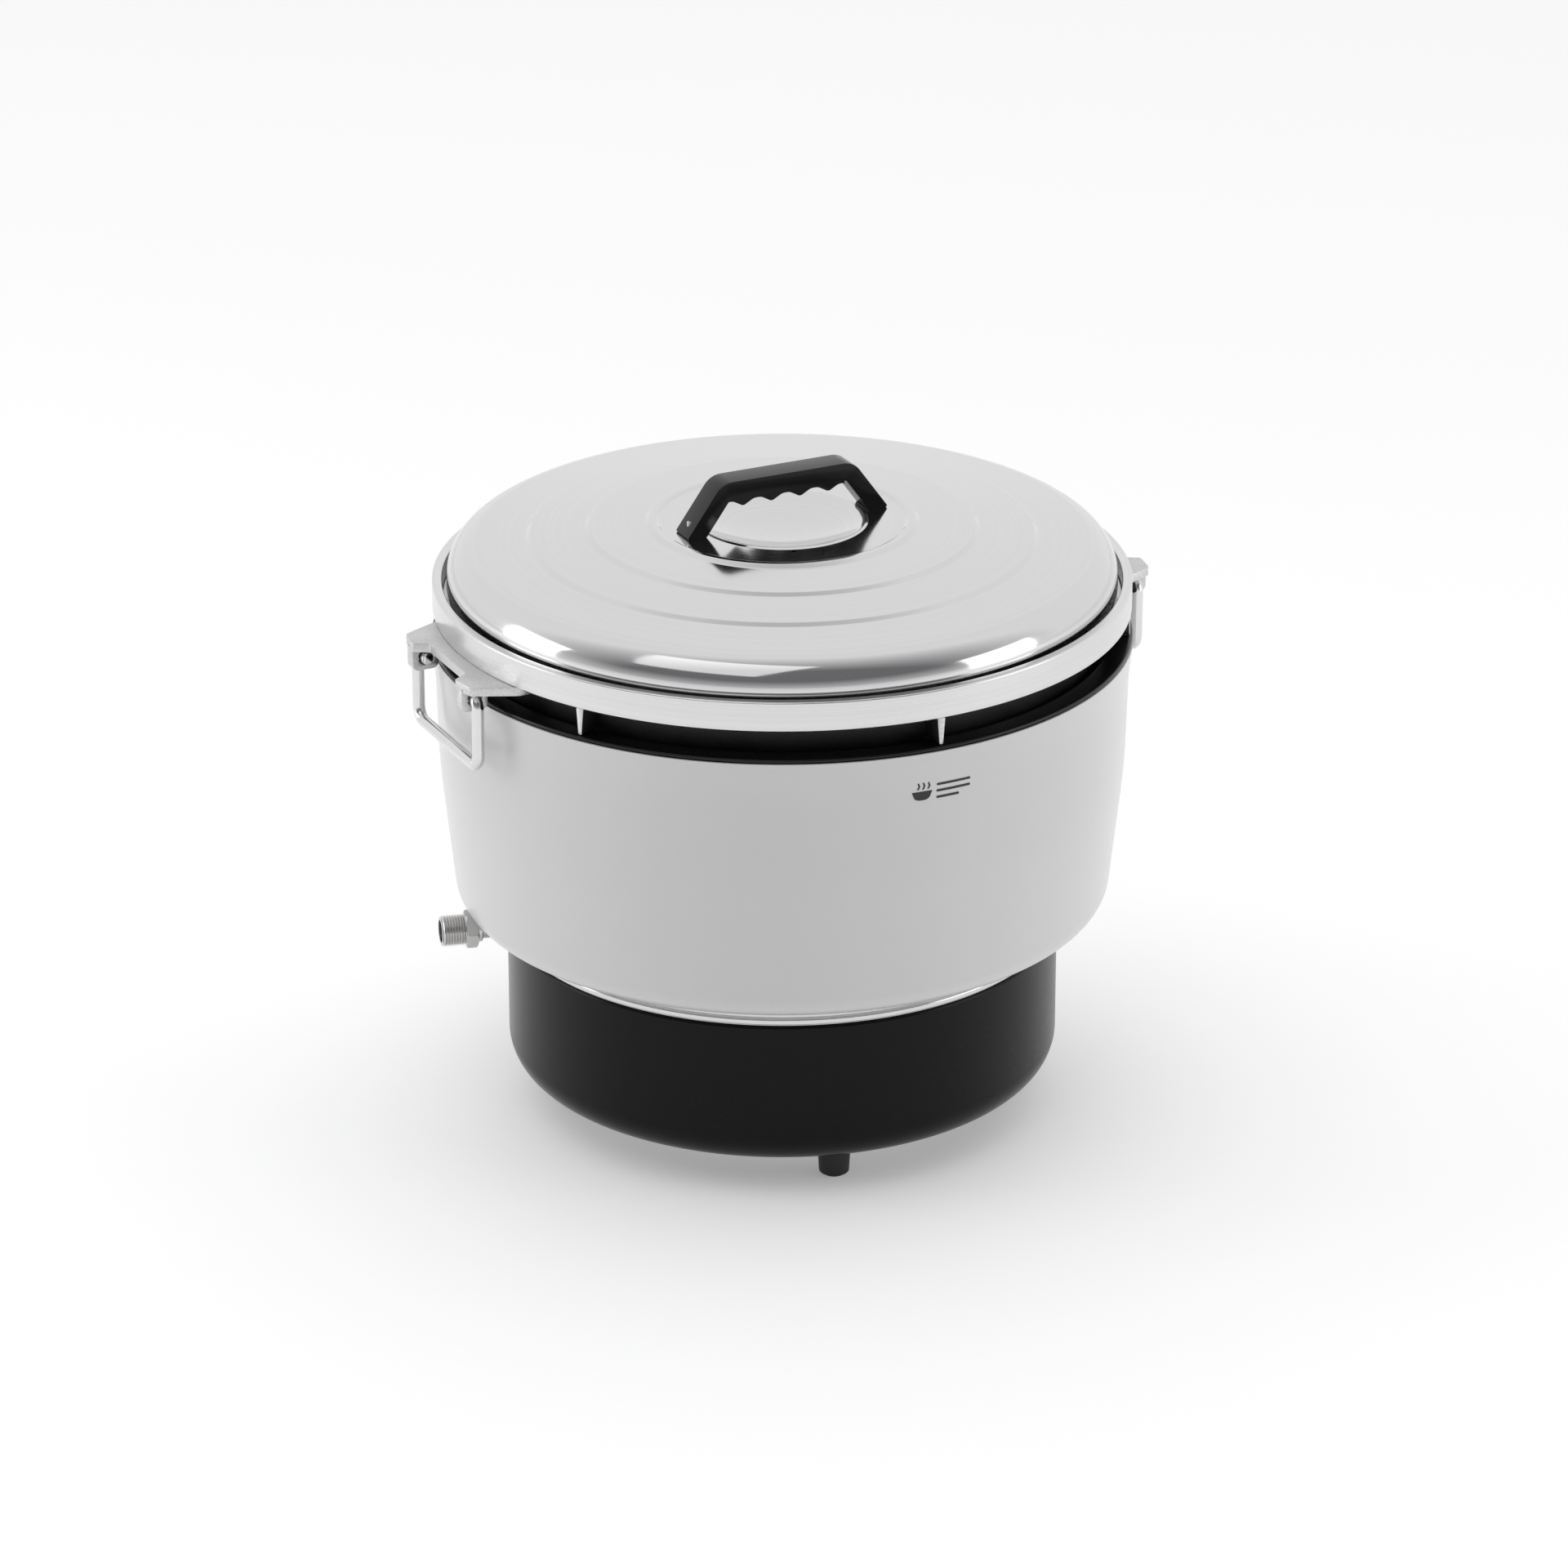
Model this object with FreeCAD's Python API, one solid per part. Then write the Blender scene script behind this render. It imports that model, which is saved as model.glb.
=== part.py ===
import FreeCAD, Part
import math
import os

os.makedirs("parts", exist_ok=True)

# A gas rice cooker. Millimetres, +Z up, front is -Y, the origin is on the axis at the floor.

# ---- Driving sizes --------------------------------------------------------------------

# Heights of the stack
foot_height = 22.0
drum_height = 101.7
trim_height = 17.3
shell_height = 183.8
flame_gap = 20.0            # from the shell floor up to the pot bottom
seat_to_rim = 17.8          # from the support ring up to the underside of the pot rim
rim_height = 20.1

# Radii of the stack
pot_radius = 210.5          # outside of the pot wall just under the rim
rim_overhang = 17.0         # how far the rim stands out from the pot wall
shell_overlap = 1.5         # how far the shell's flared edge stands out past the rim
shell_bottom_inset = 13.0   # the shell's lower corner, in from the pot rim
base_inset = 32.2           # the drum, in from the shell's lower corner
burner_radius = 85.0

# Sheet and wall thicknesses
shell_sheet = 1.2
drum_sheet = 1.5
lid_sheet = 1.0
shield_sheet = 0.8
ring_sheet = 2.2
pot_wall = 4.0
pot_floor = 5.0

# Clearances
rest_gap = 0.3              # between pieces of different bodies that rest on each other
sheet_gap = 0.2             # between nested sheets
running_fit = 0.08          # radial, shaft in bore
screw_fit = 0.25            # radial, screw in hole
slide_gap = 0.4             # round pieces that slide

# Pot details
rim_lip = 6.5
lid_seat_depth = 12.9
pot_taper = 15.5            # how much smaller the pot is at its floor than under its rim
pot_corner = 35.0
gusset_count = 6
gusset_top_width = 5.5
gusset_foot_width = 2.5
gusset_inset = 1.0          # the gusset's outer face, in from the rim's face

# Side lugs and bails
lug_thickness = 6.0
lug_root_half = 64.5
lug_reach = 19.7            # the ear tips, out from the pot rim
ear_outer_half = 51.6
ear_inner_half = 34.4
recess_half = 28.5
recess_depth = 10.5
wire_radius = 4.0
wire_clearance = 1.2        # radial, wire in the block's hole
block_half_inner = 35.0
block_width = 8.5
block_wall = 3.8            # beside the hole
block_drop = 13.8
bail_drop = 46.0
bail_leg_gap = 0.5          # between a bail's leg and its block
bail_bend = 9.0
wire_stub = 3.5             # the cut end that shows inside the block

# Lid
lid_gap = 3.0               # radial, lid skirt inside the pot rim
lid_shoulder = 21.5
lid_rise = 21.5             # the shoulder's top corner above the pot rim
outer_step_radius = 164.7
middle_step_radius = 126.5
inner_ring_radius = 84.0
step_height = 2.0
lid_slope = 0.092
plate_radius = 80.0
dish_radius = 52.0
dish_depth = 12.0
steam_hole_radius = 1.5
steam_hole_distance = 59.0
steam_hole_turn = -18.7     # degrees from the front

# Lid handle
handle_length = 145.0
handle_height = 35.0
handle_width = 18.5
handle_foot = 14.0
handle_top_half = 47.0
handle_bar = 11.5
grip_count = 4
grip_pitch = 20.4
grip_depth = 3.7
grip_drop = 3.2             # the finger rib's hollows, under the bar
grip_inset = 3.0            # the rib's sides, in from the bar's
handle_screw_radius = 2.5
handle_screw_depth = 10.0

# Base
drum_corner = 24.0
drum_flange = 10.0
bead_half = 2.1
bead_depth = 1.7
bead_fillet = 1.2
foot_inset = 37.8           # the circle of feet, in from the drum wall
foot_count = 4
foot_turn = -12.5           # degrees from the front
foot_top_radius = 11.0
foot_bottom_radius = 10.0
foot_screw_radius = 3.0
bolt_radius = 2.5
bolt_count = 6
tray_depth = 12.0
air_hole_radius = 9.0
air_hole_count = 8

# Gas inlet
inlet_turn = -103.6         # degrees from the front
inlet_rise = 7.3            # axis above the drum's top
inlet_pipe_radius = 7.0
inlet_pipe_bore = 5.5
inlet_pipe_bend = 16.0
thread_radius = 10.48       # R 1/2 pipe thread
thread_length = 16.0
hex_flats = 22.0
hex_length = 8.0
nipple_bore = 7.5
nipple_reach = 0.8          # the nipple's mouth, out past the shell's flared edge

# Burner and what stands beside it
bracket_thickness = 3.0
bracket_half_width = 12.0
burner_height = 19.0
burner_cap_height = 15.0
burner_gap = 6.0            # under the shell floor to the top of the cap's side
burner_hub = 26.0
burner_wall = 4.0
port_radius = 1.6
port_count = 24
tube_radius = 12.0
tube_wall = 2.0
tube_offset = 38.0
tube_bend = 18.0
tube_drop = 19.0            # mixing tube axis under the burner
pilot_distance = 15.0       # pilot, out from the burner

# Thermostat
sleeve_radius = 20.0
sleeve_wall = 1.8
plunger_radius = 17.0
plunger_height = 11.0
plunger_stem = 4.0
plunger_travel = 4.0

# Controls, on the back
housing_half = 62.0
housing_depth = 23.7
housing_low = 20.0          # above the drum's bottom
housing_margin = 5.7         # its top, under the drum's top
housing_corner = 10.0
panel_sheet = 1.5
knob_radius = 19.0
knob_depth = 17.5
knob_gap = 0.6
spindle_radius = 4.0
lever_half = 4.0
lever_throw = 16.0          # degrees, pressed
lever_height = 5.0
pin_radius = 3.0
tab_half = 14.0
button_radius = 7.0
button_depth = 12.0
button_travel = 5.0
valve_half = 14.0
valve_setback = 30.3        # valve centre, in from the drum wall
control_rise = 62.0         # row of controls above the drum's bottom

# Badge
badge_half = 21.5
badge_height = 14.0
badge_sheet = 0.5
badge_drop = 30.0           # its middle below the shell's top edge

# ---- Worked-out places ----------------------------------------------------------------

drum_bottom = foot_height
drum_top = drum_bottom + drum_height
shell_bottom = drum_top + trim_height
shell_top = shell_bottom + shell_height
seat_top = shell_top + ring_sheet
rim_bottom = seat_top + seat_to_rim
rim_top = rim_bottom + rim_height
pot_bottom = shell_bottom + flame_gap
lid_seat = rim_top - lid_seat_depth

rim_radius = pot_radius + rim_overhang
rim_inner = rim_radius - rim_lip
shell_edge = rim_radius + shell_overlap
shell_bottom_radius = rim_radius - shell_bottom_inset
shell_shoulder_radius = rim_radius - 2.6
shell_neck_radius = rim_radius - 1.2
shell_corner = 17.6
drum_radius = shell_bottom_radius - base_inset
flange_radius = drum_radius - drum_flange
foot_circle = drum_radius - foot_inset

lid_radius = rim_inner - lid_gap
lid_corner_top = rim_top + lid_rise
lid_bottom = lid_seat + rest_gap

shield_radius = pot_radius + 3.0
shield_floor = shell_bottom + shell_sheet + sheet_gap
ring_skirt_radius = shield_radius + sheet_gap + 0.3

bracket_top = shell_bottom - burner_gap - burner_cap_height - burner_height + 3.0
bracket_bottom = bracket_top - bracket_thickness
cap_bottom = bracket_top + burner_height
tube_axis = bracket_top - tube_drop
pilot_x = -(burner_radius + pilot_distance)

panel_back = drum_radius + housing_depth
panel_front = panel_back + panel_sheet
control_z = drum_bottom + control_rise
valve_y = drum_radius - valve_setback
valve_bottom = tube_axis - valve_half
lever_pivot_y = drum_radius - 14.0
lever_z = control_z - 6.0

lug_top = rim_bottom + 0.5
lug_bottom = lug_top - lug_thickness
hole_radius = wire_radius + wire_clearance
block_inner = shell_edge - 0.6
bail_x = block_inner + block_wall + hole_radius
bail_z = lug_bottom - hole_radius - 0.1
block_outer_half = block_half_inner + block_width
bail_leg = block_outer_half + bail_leg_gap + wire_radius


# ---- Shared ways of making things -----------------------------------------------------

def vector(x, y, z):
    return FreeCAD.Vector(x, y, z)


UP = vector(0, 0, 1)
BACK = vector(0, 1, 0)
SIDE = vector(1, 0, 0)


def around(turn, radius, z):
    """The point at a turn in degrees from the front (-Y), positive towards +X."""
    angle = math.radians(turn)
    return vector(radius * math.sin(angle), -radius * math.cos(angle), z)


def rounded(points, radii, closed=False):
    """A wire through the points, with a tangent arc of its own radius at each corner."""
    count = len(points)
    corners = []
    for i, (here, radius) in enumerate(zip(points, radii)):
        if radius <= 0 or (not closed and i in (0, count - 1)):
            corners.append((here, None, here))
            continue
        into = (here - points[i - 1]).normalize()
        out = (points[(i + 1) % count] - here).normalize()
        half = into.getAngle(out) / 2
        inward = (out - into).normalize()
        cut = radius * math.tan(half)
        middle = here + inward * (radius / math.cos(half) - radius)
        corners.append((here - into * cut, middle, here + out * cut))
    edges = []
    for i, (begin, middle, end) in enumerate(corners):
        if middle is not None:
            edges.append(Part.Arc(begin, middle, end).toShape())
        if closed or i + 1 < count:
            following = corners[(i + 1) % count][0]
            if end.distanceToPoint(following) > 1e-6:
                edges.append(Part.makeLine(end, following))
    return Part.Wire(edges)


def turned(*corners):
    """A solid of revolution from (radius, height) or (radius, height, fillet) corners."""
    corners = [(*corner, 0)[:3] for corner in corners]
    points = [vector(r, 0, z) for r, z, _ in corners]
    outline = rounded(points, [fillet for _, _, fillet in corners], closed=True)
    return Part.Face(outline).revolve(vector(0, 0, 0), UP, 360)


def moved_left(points, radii, distance):
    """The points and fillets of a path moved to the left of its travel."""
    count = len(points)
    new_points = []
    new_radii = []
    for i, here in enumerate(points):
        into = (here - points[i - 1]).normalize() if i else (points[1] - here).normalize()
        out = (points[i + 1] - here).normalize() if i + 1 < count else into
        mitre = vector(-into.z - out.z, 0, into.x + out.x)
        new_points.append(here + mitre * (2 * distance / mitre.Length ** 2))
        turn = into.x * out.z - into.z * out.x
        fillet = radii[i] - math.copysign(distance, turn)
        new_radii.append(max(fillet, 0) if radii[i] else 0)
    return new_points, new_radii


def bent_sheet(thickness, *corners):
    """A turned sheet whose outer face follows the corners; its thickness is on the left."""
    corners = [(*corner, 0)[:3] for corner in corners]
    points = [vector(r, 0, z) for r, z, _ in corners]
    radii = [fillet for _, _, fillet in corners]
    inner_points, inner_radii = moved_left(points, radii, thickness)
    outline = rounded(points + inner_points[::-1], radii + inner_radii[::-1], closed=True)
    return Part.Face(outline).revolve(vector(0, 0, 0), UP, 360)


def block(x0, x1, y0, y1, z0, z1):
    return Part.makeBox(x1 - x0, y1 - y0, z1 - z0, vector(x0, y0, z0))


def rod(radius, start, end):
    along = end - start
    return Part.makeCylinder(radius, along.Length, start, along)


def wire_sweep(radius, points, bend):
    """A round bar along points, each corner bent to the same radius."""
    path = rounded(points, [bend] * len(points))
    along = (points[1] - points[0]).normalize()
    section = Part.Wire(Part.makeCircle(radius, points[0], along))
    return path.makePipeShell([section], True, False)


def pipe_sweep(radius, bore, points, bend):
    return wire_sweep(radius, points, bend).cut(wire_sweep(bore, points, bend))


def extruded(points, radii, along):
    return Part.Face(rounded(points, radii, closed=True)).extrude(along)


def mirrored_x(shape):
    return shape.mirror(vector(0, 0, 0), SIDE)


def turned_copies(shape, count, first=0.0):
    """Copies of a shape made at the front, spread evenly round the axis."""
    copies = []
    for i in range(count):
        copy = shape.copy()
        copy.rotate(vector(0, 0, 0), UP, first + i * 360.0 / count)
        copies.append(copy)
    return copies


def screw(head_radius, head_height, shank_radius, shank_length):
    """A pan-head screw, its head's seat at the origin and its shank down."""
    head = turned((0, 0), (head_radius, 0), (head_radius, head_height, head_height * 0.6),
                  (0, head_height))
    slot = block(-head_radius, head_radius, -0.5, 0.5, head_height * 0.5, head_height + 1)
    return head.cut(slot).fuse(rod(shank_radius, vector(0, 0, 0), vector(0, 0, -shank_length)))


def placed(shape, place):
    copy = shape.copy()
    copy.translate(place)
    return copy


# ---- Base -----------------------------------------------------------------------------

def control_window():
    """The opening in the drum wall behind the control housing."""
    return block(-housing_half + 8, housing_half - 8, drum_radius - 40, drum_radius + 5,
                 drum_bottom + housing_low + 8, drum_top - housing_margin - 8)


def foot_places(z):
    return [around(foot_turn + i * 360.0 / foot_count, foot_circle, z) for i in range(foot_count)]


def bolt_places(z):
    turns = [i * 360.0 / bolt_count for i in range(bolt_count)]
    return [around(turn, (drum_radius + flange_radius) / 2 - 1.5, z) for turn in turns]


def drum_bolt_holes():
    radius = bolt_radius + screw_fit
    return [rod(radius, place, place + vector(0, 0, 40)) for place in bolt_places(drum_top - 10)]


def base_drum():
    drum = bent_sheet(drum_sheet,
                      (foot_circle - foot_top_radius - 5.5, drum_bottom),
                      (drum_radius, drum_bottom, drum_corner),
                      (drum_radius, drum_top, 2.5),
                      (flange_radius, drum_top))
    holes = [control_window()] + drum_bolt_holes()
    holes += [rod(foot_screw_radius + screw_fit, place - UP * 5, place + UP * 5)
              for place in foot_places(drum_bottom)]
    return drum.cut(holes)


def base_bottom_plate():
    radius = foot_circle - foot_top_radius + 1
    low = drum_bottom + drum_sheet + sheet_gap
    plate = turned((burner_hub, low), (radius, low), (radius, low + drum_sheet),
                   (burner_hub, low + drum_sheet))
    hole = rod(air_hole_radius, around(0, radius * 0.7, low - 5), around(0, radius * 0.7, low + 5))
    return plate.cut(turned_copies(hole, air_hole_count, 22.5))


def drip_tray():
    radius = foot_circle - foot_top_radius - 4
    low = drum_bottom + 2 * drum_sheet + 2 * sheet_gap
    return bent_sheet(shield_sheet, (0, low), (radius - 8, low, 5), (radius, low + tray_depth, 1),
                      (radius + 3, low + tray_depth))


def rubber_foot():
    bottom = foot_bottom_radius
    foot = turned((0, 0), (bottom, 0, 2), (foot_top_radius, foot_height - 3),
                  (foot_top_radius, foot_height), (0, foot_height))
    depth = foot_height * 0.6
    return foot.cut(rod(foot_screw_radius + 0.05, vector(0, 0, foot_height - depth),
                        vector(0, 0, foot_height + 1)))


def rubber_feet():
    return [placed(rubber_foot(), place) for place in foot_places(0)]


def foot_screws():
    length = foot_height * 0.55 + drum_sheet
    one = screw(foot_screw_radius * 1.8, 3.0, foot_screw_radius, length)
    return [placed(one, place) for place in foot_places(drum_bottom + drum_sheet)]


def inlet_notch(half):
    """A square notch for the inlet pipe, open at the drum's top."""
    start = around(inlet_turn, drum_radius - 20, drum_top - 1)
    outward = around(inlet_turn, 40, 0)
    across = outward.cross(UP).normalize() * half
    height = UP * (inlet_rise + 1 + half)
    corners = [start + across, start - across, start - across + height, start + across + height]
    return Part.Face(Part.makePolygon(corners + corners[:1])).extrude(outward)


def trim_ring():
    """A channel between the drum and the shell, with two round beads on its face."""
    face = drum_radius - 0.3
    back = face - drum_sheet
    corners = [(flange_radius, drum_top), (face, drum_top, 1)]
    for middle in (drum_top + 0.2 * trim_height, drum_top + 0.5 * trim_height):
        low = middle - bead_half
        high = middle + bead_half
        corners += [(face, low), (face + bead_depth, low, bead_fillet),
                    (face + bead_depth, high, bead_fillet), (face, high)]
    corners += [(face, shell_bottom, 1), (flange_radius, shell_bottom),
                (flange_radius, shell_bottom - drum_sheet), (back, shell_bottom - drum_sheet),
                (back, drum_top + drum_sheet), (flange_radius, drum_top + drum_sheet)]
    return turned(*corners).cut([inlet_notch(inlet_pipe_radius + slide_gap)] + drum_bolt_holes())


def flange_bolts():
    seat = shield_floor + shield_sheet
    grip = seat - (drum_top - drum_sheet) + sheet_gap
    shank = rod(bolt_radius, vector(0, 0, 0), vector(0, 0, -grip - 6))
    head = Part.Face(Part.makePolygon([around(i * 60, 4.6, 0) for i in range(7)])).extrude(UP * 3)
    nut = Part.Face(Part.makePolygon([around(i * 60, 4.6, -grip - 4) for i in range(7)]))
    bolt = head.fuse([shank, nut.extrude(UP * 4)])
    return [placed(bolt, place) for place in bolt_places(seat)]


def shell_path():
    shoulder = shell_bottom + shell_height * 0.528
    neck = shell_bottom + shell_height * 0.865
    return ((flange_radius, shell_bottom), (shell_bottom_radius, shell_bottom, shell_corner),
            (shell_shoulder_radius, shoulder, 400), (shell_neck_radius, neck, 150),
            (shell_edge, shell_top))


def outer_shell():
    holes = drum_bolt_holes()
    return bent_sheet(shell_sheet, *shell_path()).cut(holes)


def pot_support_ring():
    inner = ring_skirt_radius
    skirt = shell_top - 13
    under = shell_top + sheet_gap
    return turned((inner, skirt), (inner + ring_sheet, skirt),
                  (inner + ring_sheet, under), (shell_edge - 0.6, under),
                  (shell_edge - 0.6, seat_top, 1.0), (inner, seat_top, 1.6))


def heat_shield():
    hole = burner_radius + 33
    shield = bent_sheet(shield_sheet, (hole, shield_floor),
                        (shield_radius, shield_floor, shell_corner), (shield_radius, shell_top - 5))
    return shield.cut(drum_bolt_holes())


def front_badge():
    """A thin plate that follows the shell's own outline at the front."""
    path = [(*corner, 0)[:3] for corner in shell_path()]
    points = [vector(r, 0, z) for r, z, _ in path]
    outer, radii = moved_left(points, [fillet for _, _, fillet in path], -badge_sheet)
    skin = bent_sheet(badge_sheet, *[(p.x, p.z, r) for p, r in zip(outer, radii)])
    middle = shell_top - badge_drop
    window = block(-badge_half, badge_half, -shell_edge - 5, 0,
                   middle - badge_height / 2, middle + badge_height / 2)
    return skin.common(window)


# ---- Gas inlet ------------------------------------------------------------------------

def inlet_nipple():
    z = drum_top + inlet_rise
    mouth = around(inlet_turn, shell_edge + nipple_reach, z)
    inward = around(inlet_turn, -1, 0)
    hex_start = mouth + inward * thread_length
    hex_end = hex_start + inward * hex_length
    nipple = rod(thread_radius, mouth, hex_start)
    corner_radius = hex_flats / math.sqrt(3)
    across = inward.cross(UP)
    corners = []
    for i in range(7):
        angle = math.radians(60 * i)
        corners.append(hex_start + across * (corner_radius * math.cos(angle))
                       + UP * (corner_radius * math.sin(angle)))
    nut = Part.Face(Part.makePolygon(corners)).extrude(inward * hex_length)
    collar = rod(inlet_pipe_radius + 2, hex_end, hex_end + inward * 3)
    bore = rod(nipple_bore, mouth - inward, hex_start + inward * 2)
    socket = rod(inlet_pipe_radius + 0.02, hex_start + inward * 2, hex_end + inward * 4)
    return nipple.fuse([nut, collar]).cut([bore, socket])


def gas_inlet_pipe():
    z = drum_top + inlet_rise
    start = around(inlet_turn, shell_edge + nipple_reach - thread_length - 2, z)
    inside = around(inlet_turn, drum_radius - 24, z)
    level = valve_bottom - inlet_pipe_bend - 3
    below = vector(inside.x, inside.y, level)
    under = vector(tube_offset, valve_y, level)
    end = vector(tube_offset, valve_y, valve_bottom)
    points = [start, inside, below, under, end]
    return pipe_sweep(inlet_pipe_radius, inlet_pipe_bore, points, inlet_pipe_bend)


# ---- Burner ---------------------------------------------------------------------------

def burner_bracket():
    """A bar across the drum with upturned ends under the drum's top flange."""
    reach = drum_radius - drum_sheet - 3
    top = drum_top - drum_sheet
    low = bracket_bottom
    high = bracket_top
    outer = [vector(-reach, 0, top), vector(-reach, 0, low), vector(reach, 0, low),
             vector(reach, 0, top)]
    inner = [vector(reach - 3, 0, top), vector(reach - 3, 0, high), vector(3 - reach, 0, high),
             vector(3 - reach, 0, top)]
    bar = extruded(outer + inner, [0, 6, 6, 0, 0, 3, 3, 0], BACK * 2 * bracket_half_width)
    bar = placed(bar, vector(0, -bracket_half_width, 0))
    stem = rod(plunger_stem + 1, vector(0, 0, low - 1), vector(0, 0, high + 1))
    pilot = rod(2.6, vector(pilot_x, 0, low - 1), vector(pilot_x, 0, high + 1))
    return bar.cut([stem, pilot])


def burner_body():
    low = bracket_top
    high = cap_bottom
    wall = burner_wall
    body = turned((burner_hub, low), (burner_radius - 10, low), (burner_radius, high - 6, 3),
                  (burner_radius, high), (burner_radius - wall, high),
                  (burner_radius - wall, high - 6, 3), (burner_radius - 11, low + wall),
                  (burner_hub + wall, low + wall, 2), (burner_hub + wall, high), (burner_hub, high))
    mouth = vector(tube_offset, tube_offset * 1.2, low - 1)
    return body.cut(rod(tube_radius - tube_wall, mouth, mouth + UP * (wall + 2)))


def burner_cap():
    low = cap_bottom
    high = low + burner_cap_height
    wall = burner_wall
    cap = turned((burner_hub, low), (burner_hub + wall, low), (burner_hub + wall, high - wall, 3),
                 (burner_radius - 10, high - wall, 4), (burner_radius - wall, low),
                 (burner_radius, low), (burner_radius - 6, high, 5), (burner_hub, high, 2))
    level = low + burner_cap_height * 0.55
    port = rod(port_radius, around(0, burner_radius - 14, level), around(0, burner_radius + 2, level))
    return cap.cut(turned_copies(port, port_count))


def mixing_tube():
    foot = tube_offset * 1.2
    mouth = vector(tube_offset, valve_y - valve_half - 10, tube_axis)
    points = [mouth, vector(tube_offset, foot, tube_axis), vector(tube_offset, foot, bracket_top)]
    return pipe_sweep(tube_radius, tube_radius - tube_wall, points, tube_bend)


def air_shutter():
    """A ring that turns on the mixing tube's mouth, with four air windows."""
    y = valve_y - valve_half - 10
    centre = vector(tube_offset, y, tube_axis)
    ring = rod(tube_radius + 2, centre - BACK * 10, centre + BACK * 4)
    ring = ring.cut(rod(tube_radius + running_fit, centre - BACK * 11, centre))
    ring = ring.cut(rod(6.0, centre - BACK, centre + BACK * 5))
    window = rod(1.8, centre + vector(9.2, -1, 0), centre + vector(9.2, 5, 0))
    windows = []
    for i in range(4):
        copy = window.copy()
        copy.rotate(centre, BACK, 45 + 90 * i)
        windows.append(copy)
    return ring.cut(windows)


def injector():
    y = valve_y - valve_half
    base = vector(tube_offset, y, tube_axis)
    jet = rod(5.0, base - BACK * 9, base).fuse(rod(3.0, base - BACK * 14, base - BACK * 9))
    return jet.cut(rod(0.8, base - BACK * 15, base + BACK))


def gas_valve_body():
    x = tube_offset
    y = valve_y
    z = tube_axis
    half = valve_half
    body = block(x - half, x + half, y - half, y + half, valve_bottom, control_z + half - 4)
    body = body.fuse(rod(8.0, vector(x, y + half, control_z), vector(x, y + half + 6, control_z)))
    bore = rod(spindle_radius + running_fit, vector(x, y, control_z), vector(x, y + half + 7, control_z))
    inlet = rod(inlet_pipe_bore, vector(x, y, valve_bottom - 1), vector(x, y, control_z - 5.5))
    outlet = rod(0.8, vector(x, y - half - 1, z), vector(x, y, z))
    return body.cut([bore, inlet, outlet])


def pilot_bracket():
    x = pilot_x
    plate = block(x - 9, x + 9, -22, 22, bracket_top, bracket_top + 2)
    low = vector(x, 0, bracket_top - 1)
    holes = [rod(2.6, low, low + UP * 4)]
    for y in (-15, 15):
        holes.append(rod(3.1, low + BACK * y, low + BACK * y + UP * 4))
    return plate.cut(holes)


def pilot_burner():
    x = pilot_x
    low = bracket_top + 2
    body = placed(turned((0, low), (5, low), (5, low + 22), (6.5, low + 24), (6.5, low + 32, 2),
                         (0, low + 32)), vector(x, 0, 0))
    bore = rod(1.2, vector(x, 0, low - 1), vector(x, 0, low + 26))
    port = rod(1.2, vector(x, 0, low + 28), vector(x + 8, 0, low + 28))
    return body.cut([bore, port])


def pilot_pipe():
    level = valve_bottom + 6
    start = vector(tube_offset - valve_half, valve_y - valve_half + 4, level)
    points = [start, start - SIDE * 44, vector(pilot_x, 0, level), vector(pilot_x, 0, bracket_top + 2)]
    return pipe_sweep(2.4, 1.2, points, 10)


def thermocouple():
    x = pilot_x
    low = bracket_top - 10
    return placed(turned((0, low), (3, low), (3, bracket_top + 16), (2, bracket_top + 18),
                         (2, bracket_top + 34, 1.5), (0, bracket_top + 34)), vector(x, -15, 0))


def ignition_electrode():
    x = pilot_x
    low = bracket_top - 10
    ceramic = turned((0, low), (3, low), (3, bracket_top + 2.01), (4.2, bracket_top + 2.01),
                     (4.2, bracket_top + 26, 1.5), (0, bracket_top + 26))
    tip = rod(1.0, vector(0, 0, bracket_top + 24), vector(0, 0, bracket_top + 34))
    return placed(ceramic.fuse(tip), vector(x, 15, 0))


def ignition_lead():
    start = vector(-tube_offset, valve_y - 2, control_z)
    end = vector(pilot_x, 15, bracket_top - 10)
    points = [start, start - BACK * 24, vector(end.x, end.y + 34, end.z - 22),
              vector(end.x, end.y, end.z - 22), end]
    return wire_sweep(1.8, points, 9)


def piezo_igniter():
    x = -tube_offset
    back = valve_y - 2
    front = panel_back - button_travel - 10
    z = control_z
    body = block(x - 11, x + 11, back, front - 12, z - 10, z + 10)
    return body.fuse(rod(8.0, vector(x, front - 12, z), vector(x, front, z)))


# ---- Thermostat -----------------------------------------------------------------------

def thermostat_sleeve():
    low = bracket_top
    inner = sleeve_radius - sleeve_wall
    high = pot_bottom - rest_gap - plunger_travel - 2
    return turned((plunger_stem + running_fit, low), (sleeve_radius, low), (sleeve_radius, high),
                  (inner, high), (inner, low + 3, 1), (plunger_stem + running_fit, low + 3))


def thermostat_plunger():
    top = pot_bottom - rest_gap
    low = top - plunger_height
    head = turned((0, low), (plunger_radius, low), (plunger_radius, top, 1.5), (0, top))
    bottom = bracket_bottom - 2
    return head.fuse(rod(plunger_stem, vector(0, 0, bottom), vector(0, 0, low + 1)))


def thermostat_spring():
    low = bracket_top + 3
    high = pot_bottom - rest_gap - plunger_height
    return turned((plunger_stem + 4, low), (plunger_stem + 6.5, low), (plunger_stem + 6.5, high),
                  (plunger_stem + 4, high))


# ---- Controls -------------------------------------------------------------------------

def housing_outline(inset, y):
    low = drum_bottom + housing_low + inset
    high = drum_top - housing_margin - inset
    half = housing_half - inset
    return [vector(-half, y, low), vector(half, y, low), vector(half, y, high), vector(-half, y, high)]


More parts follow.
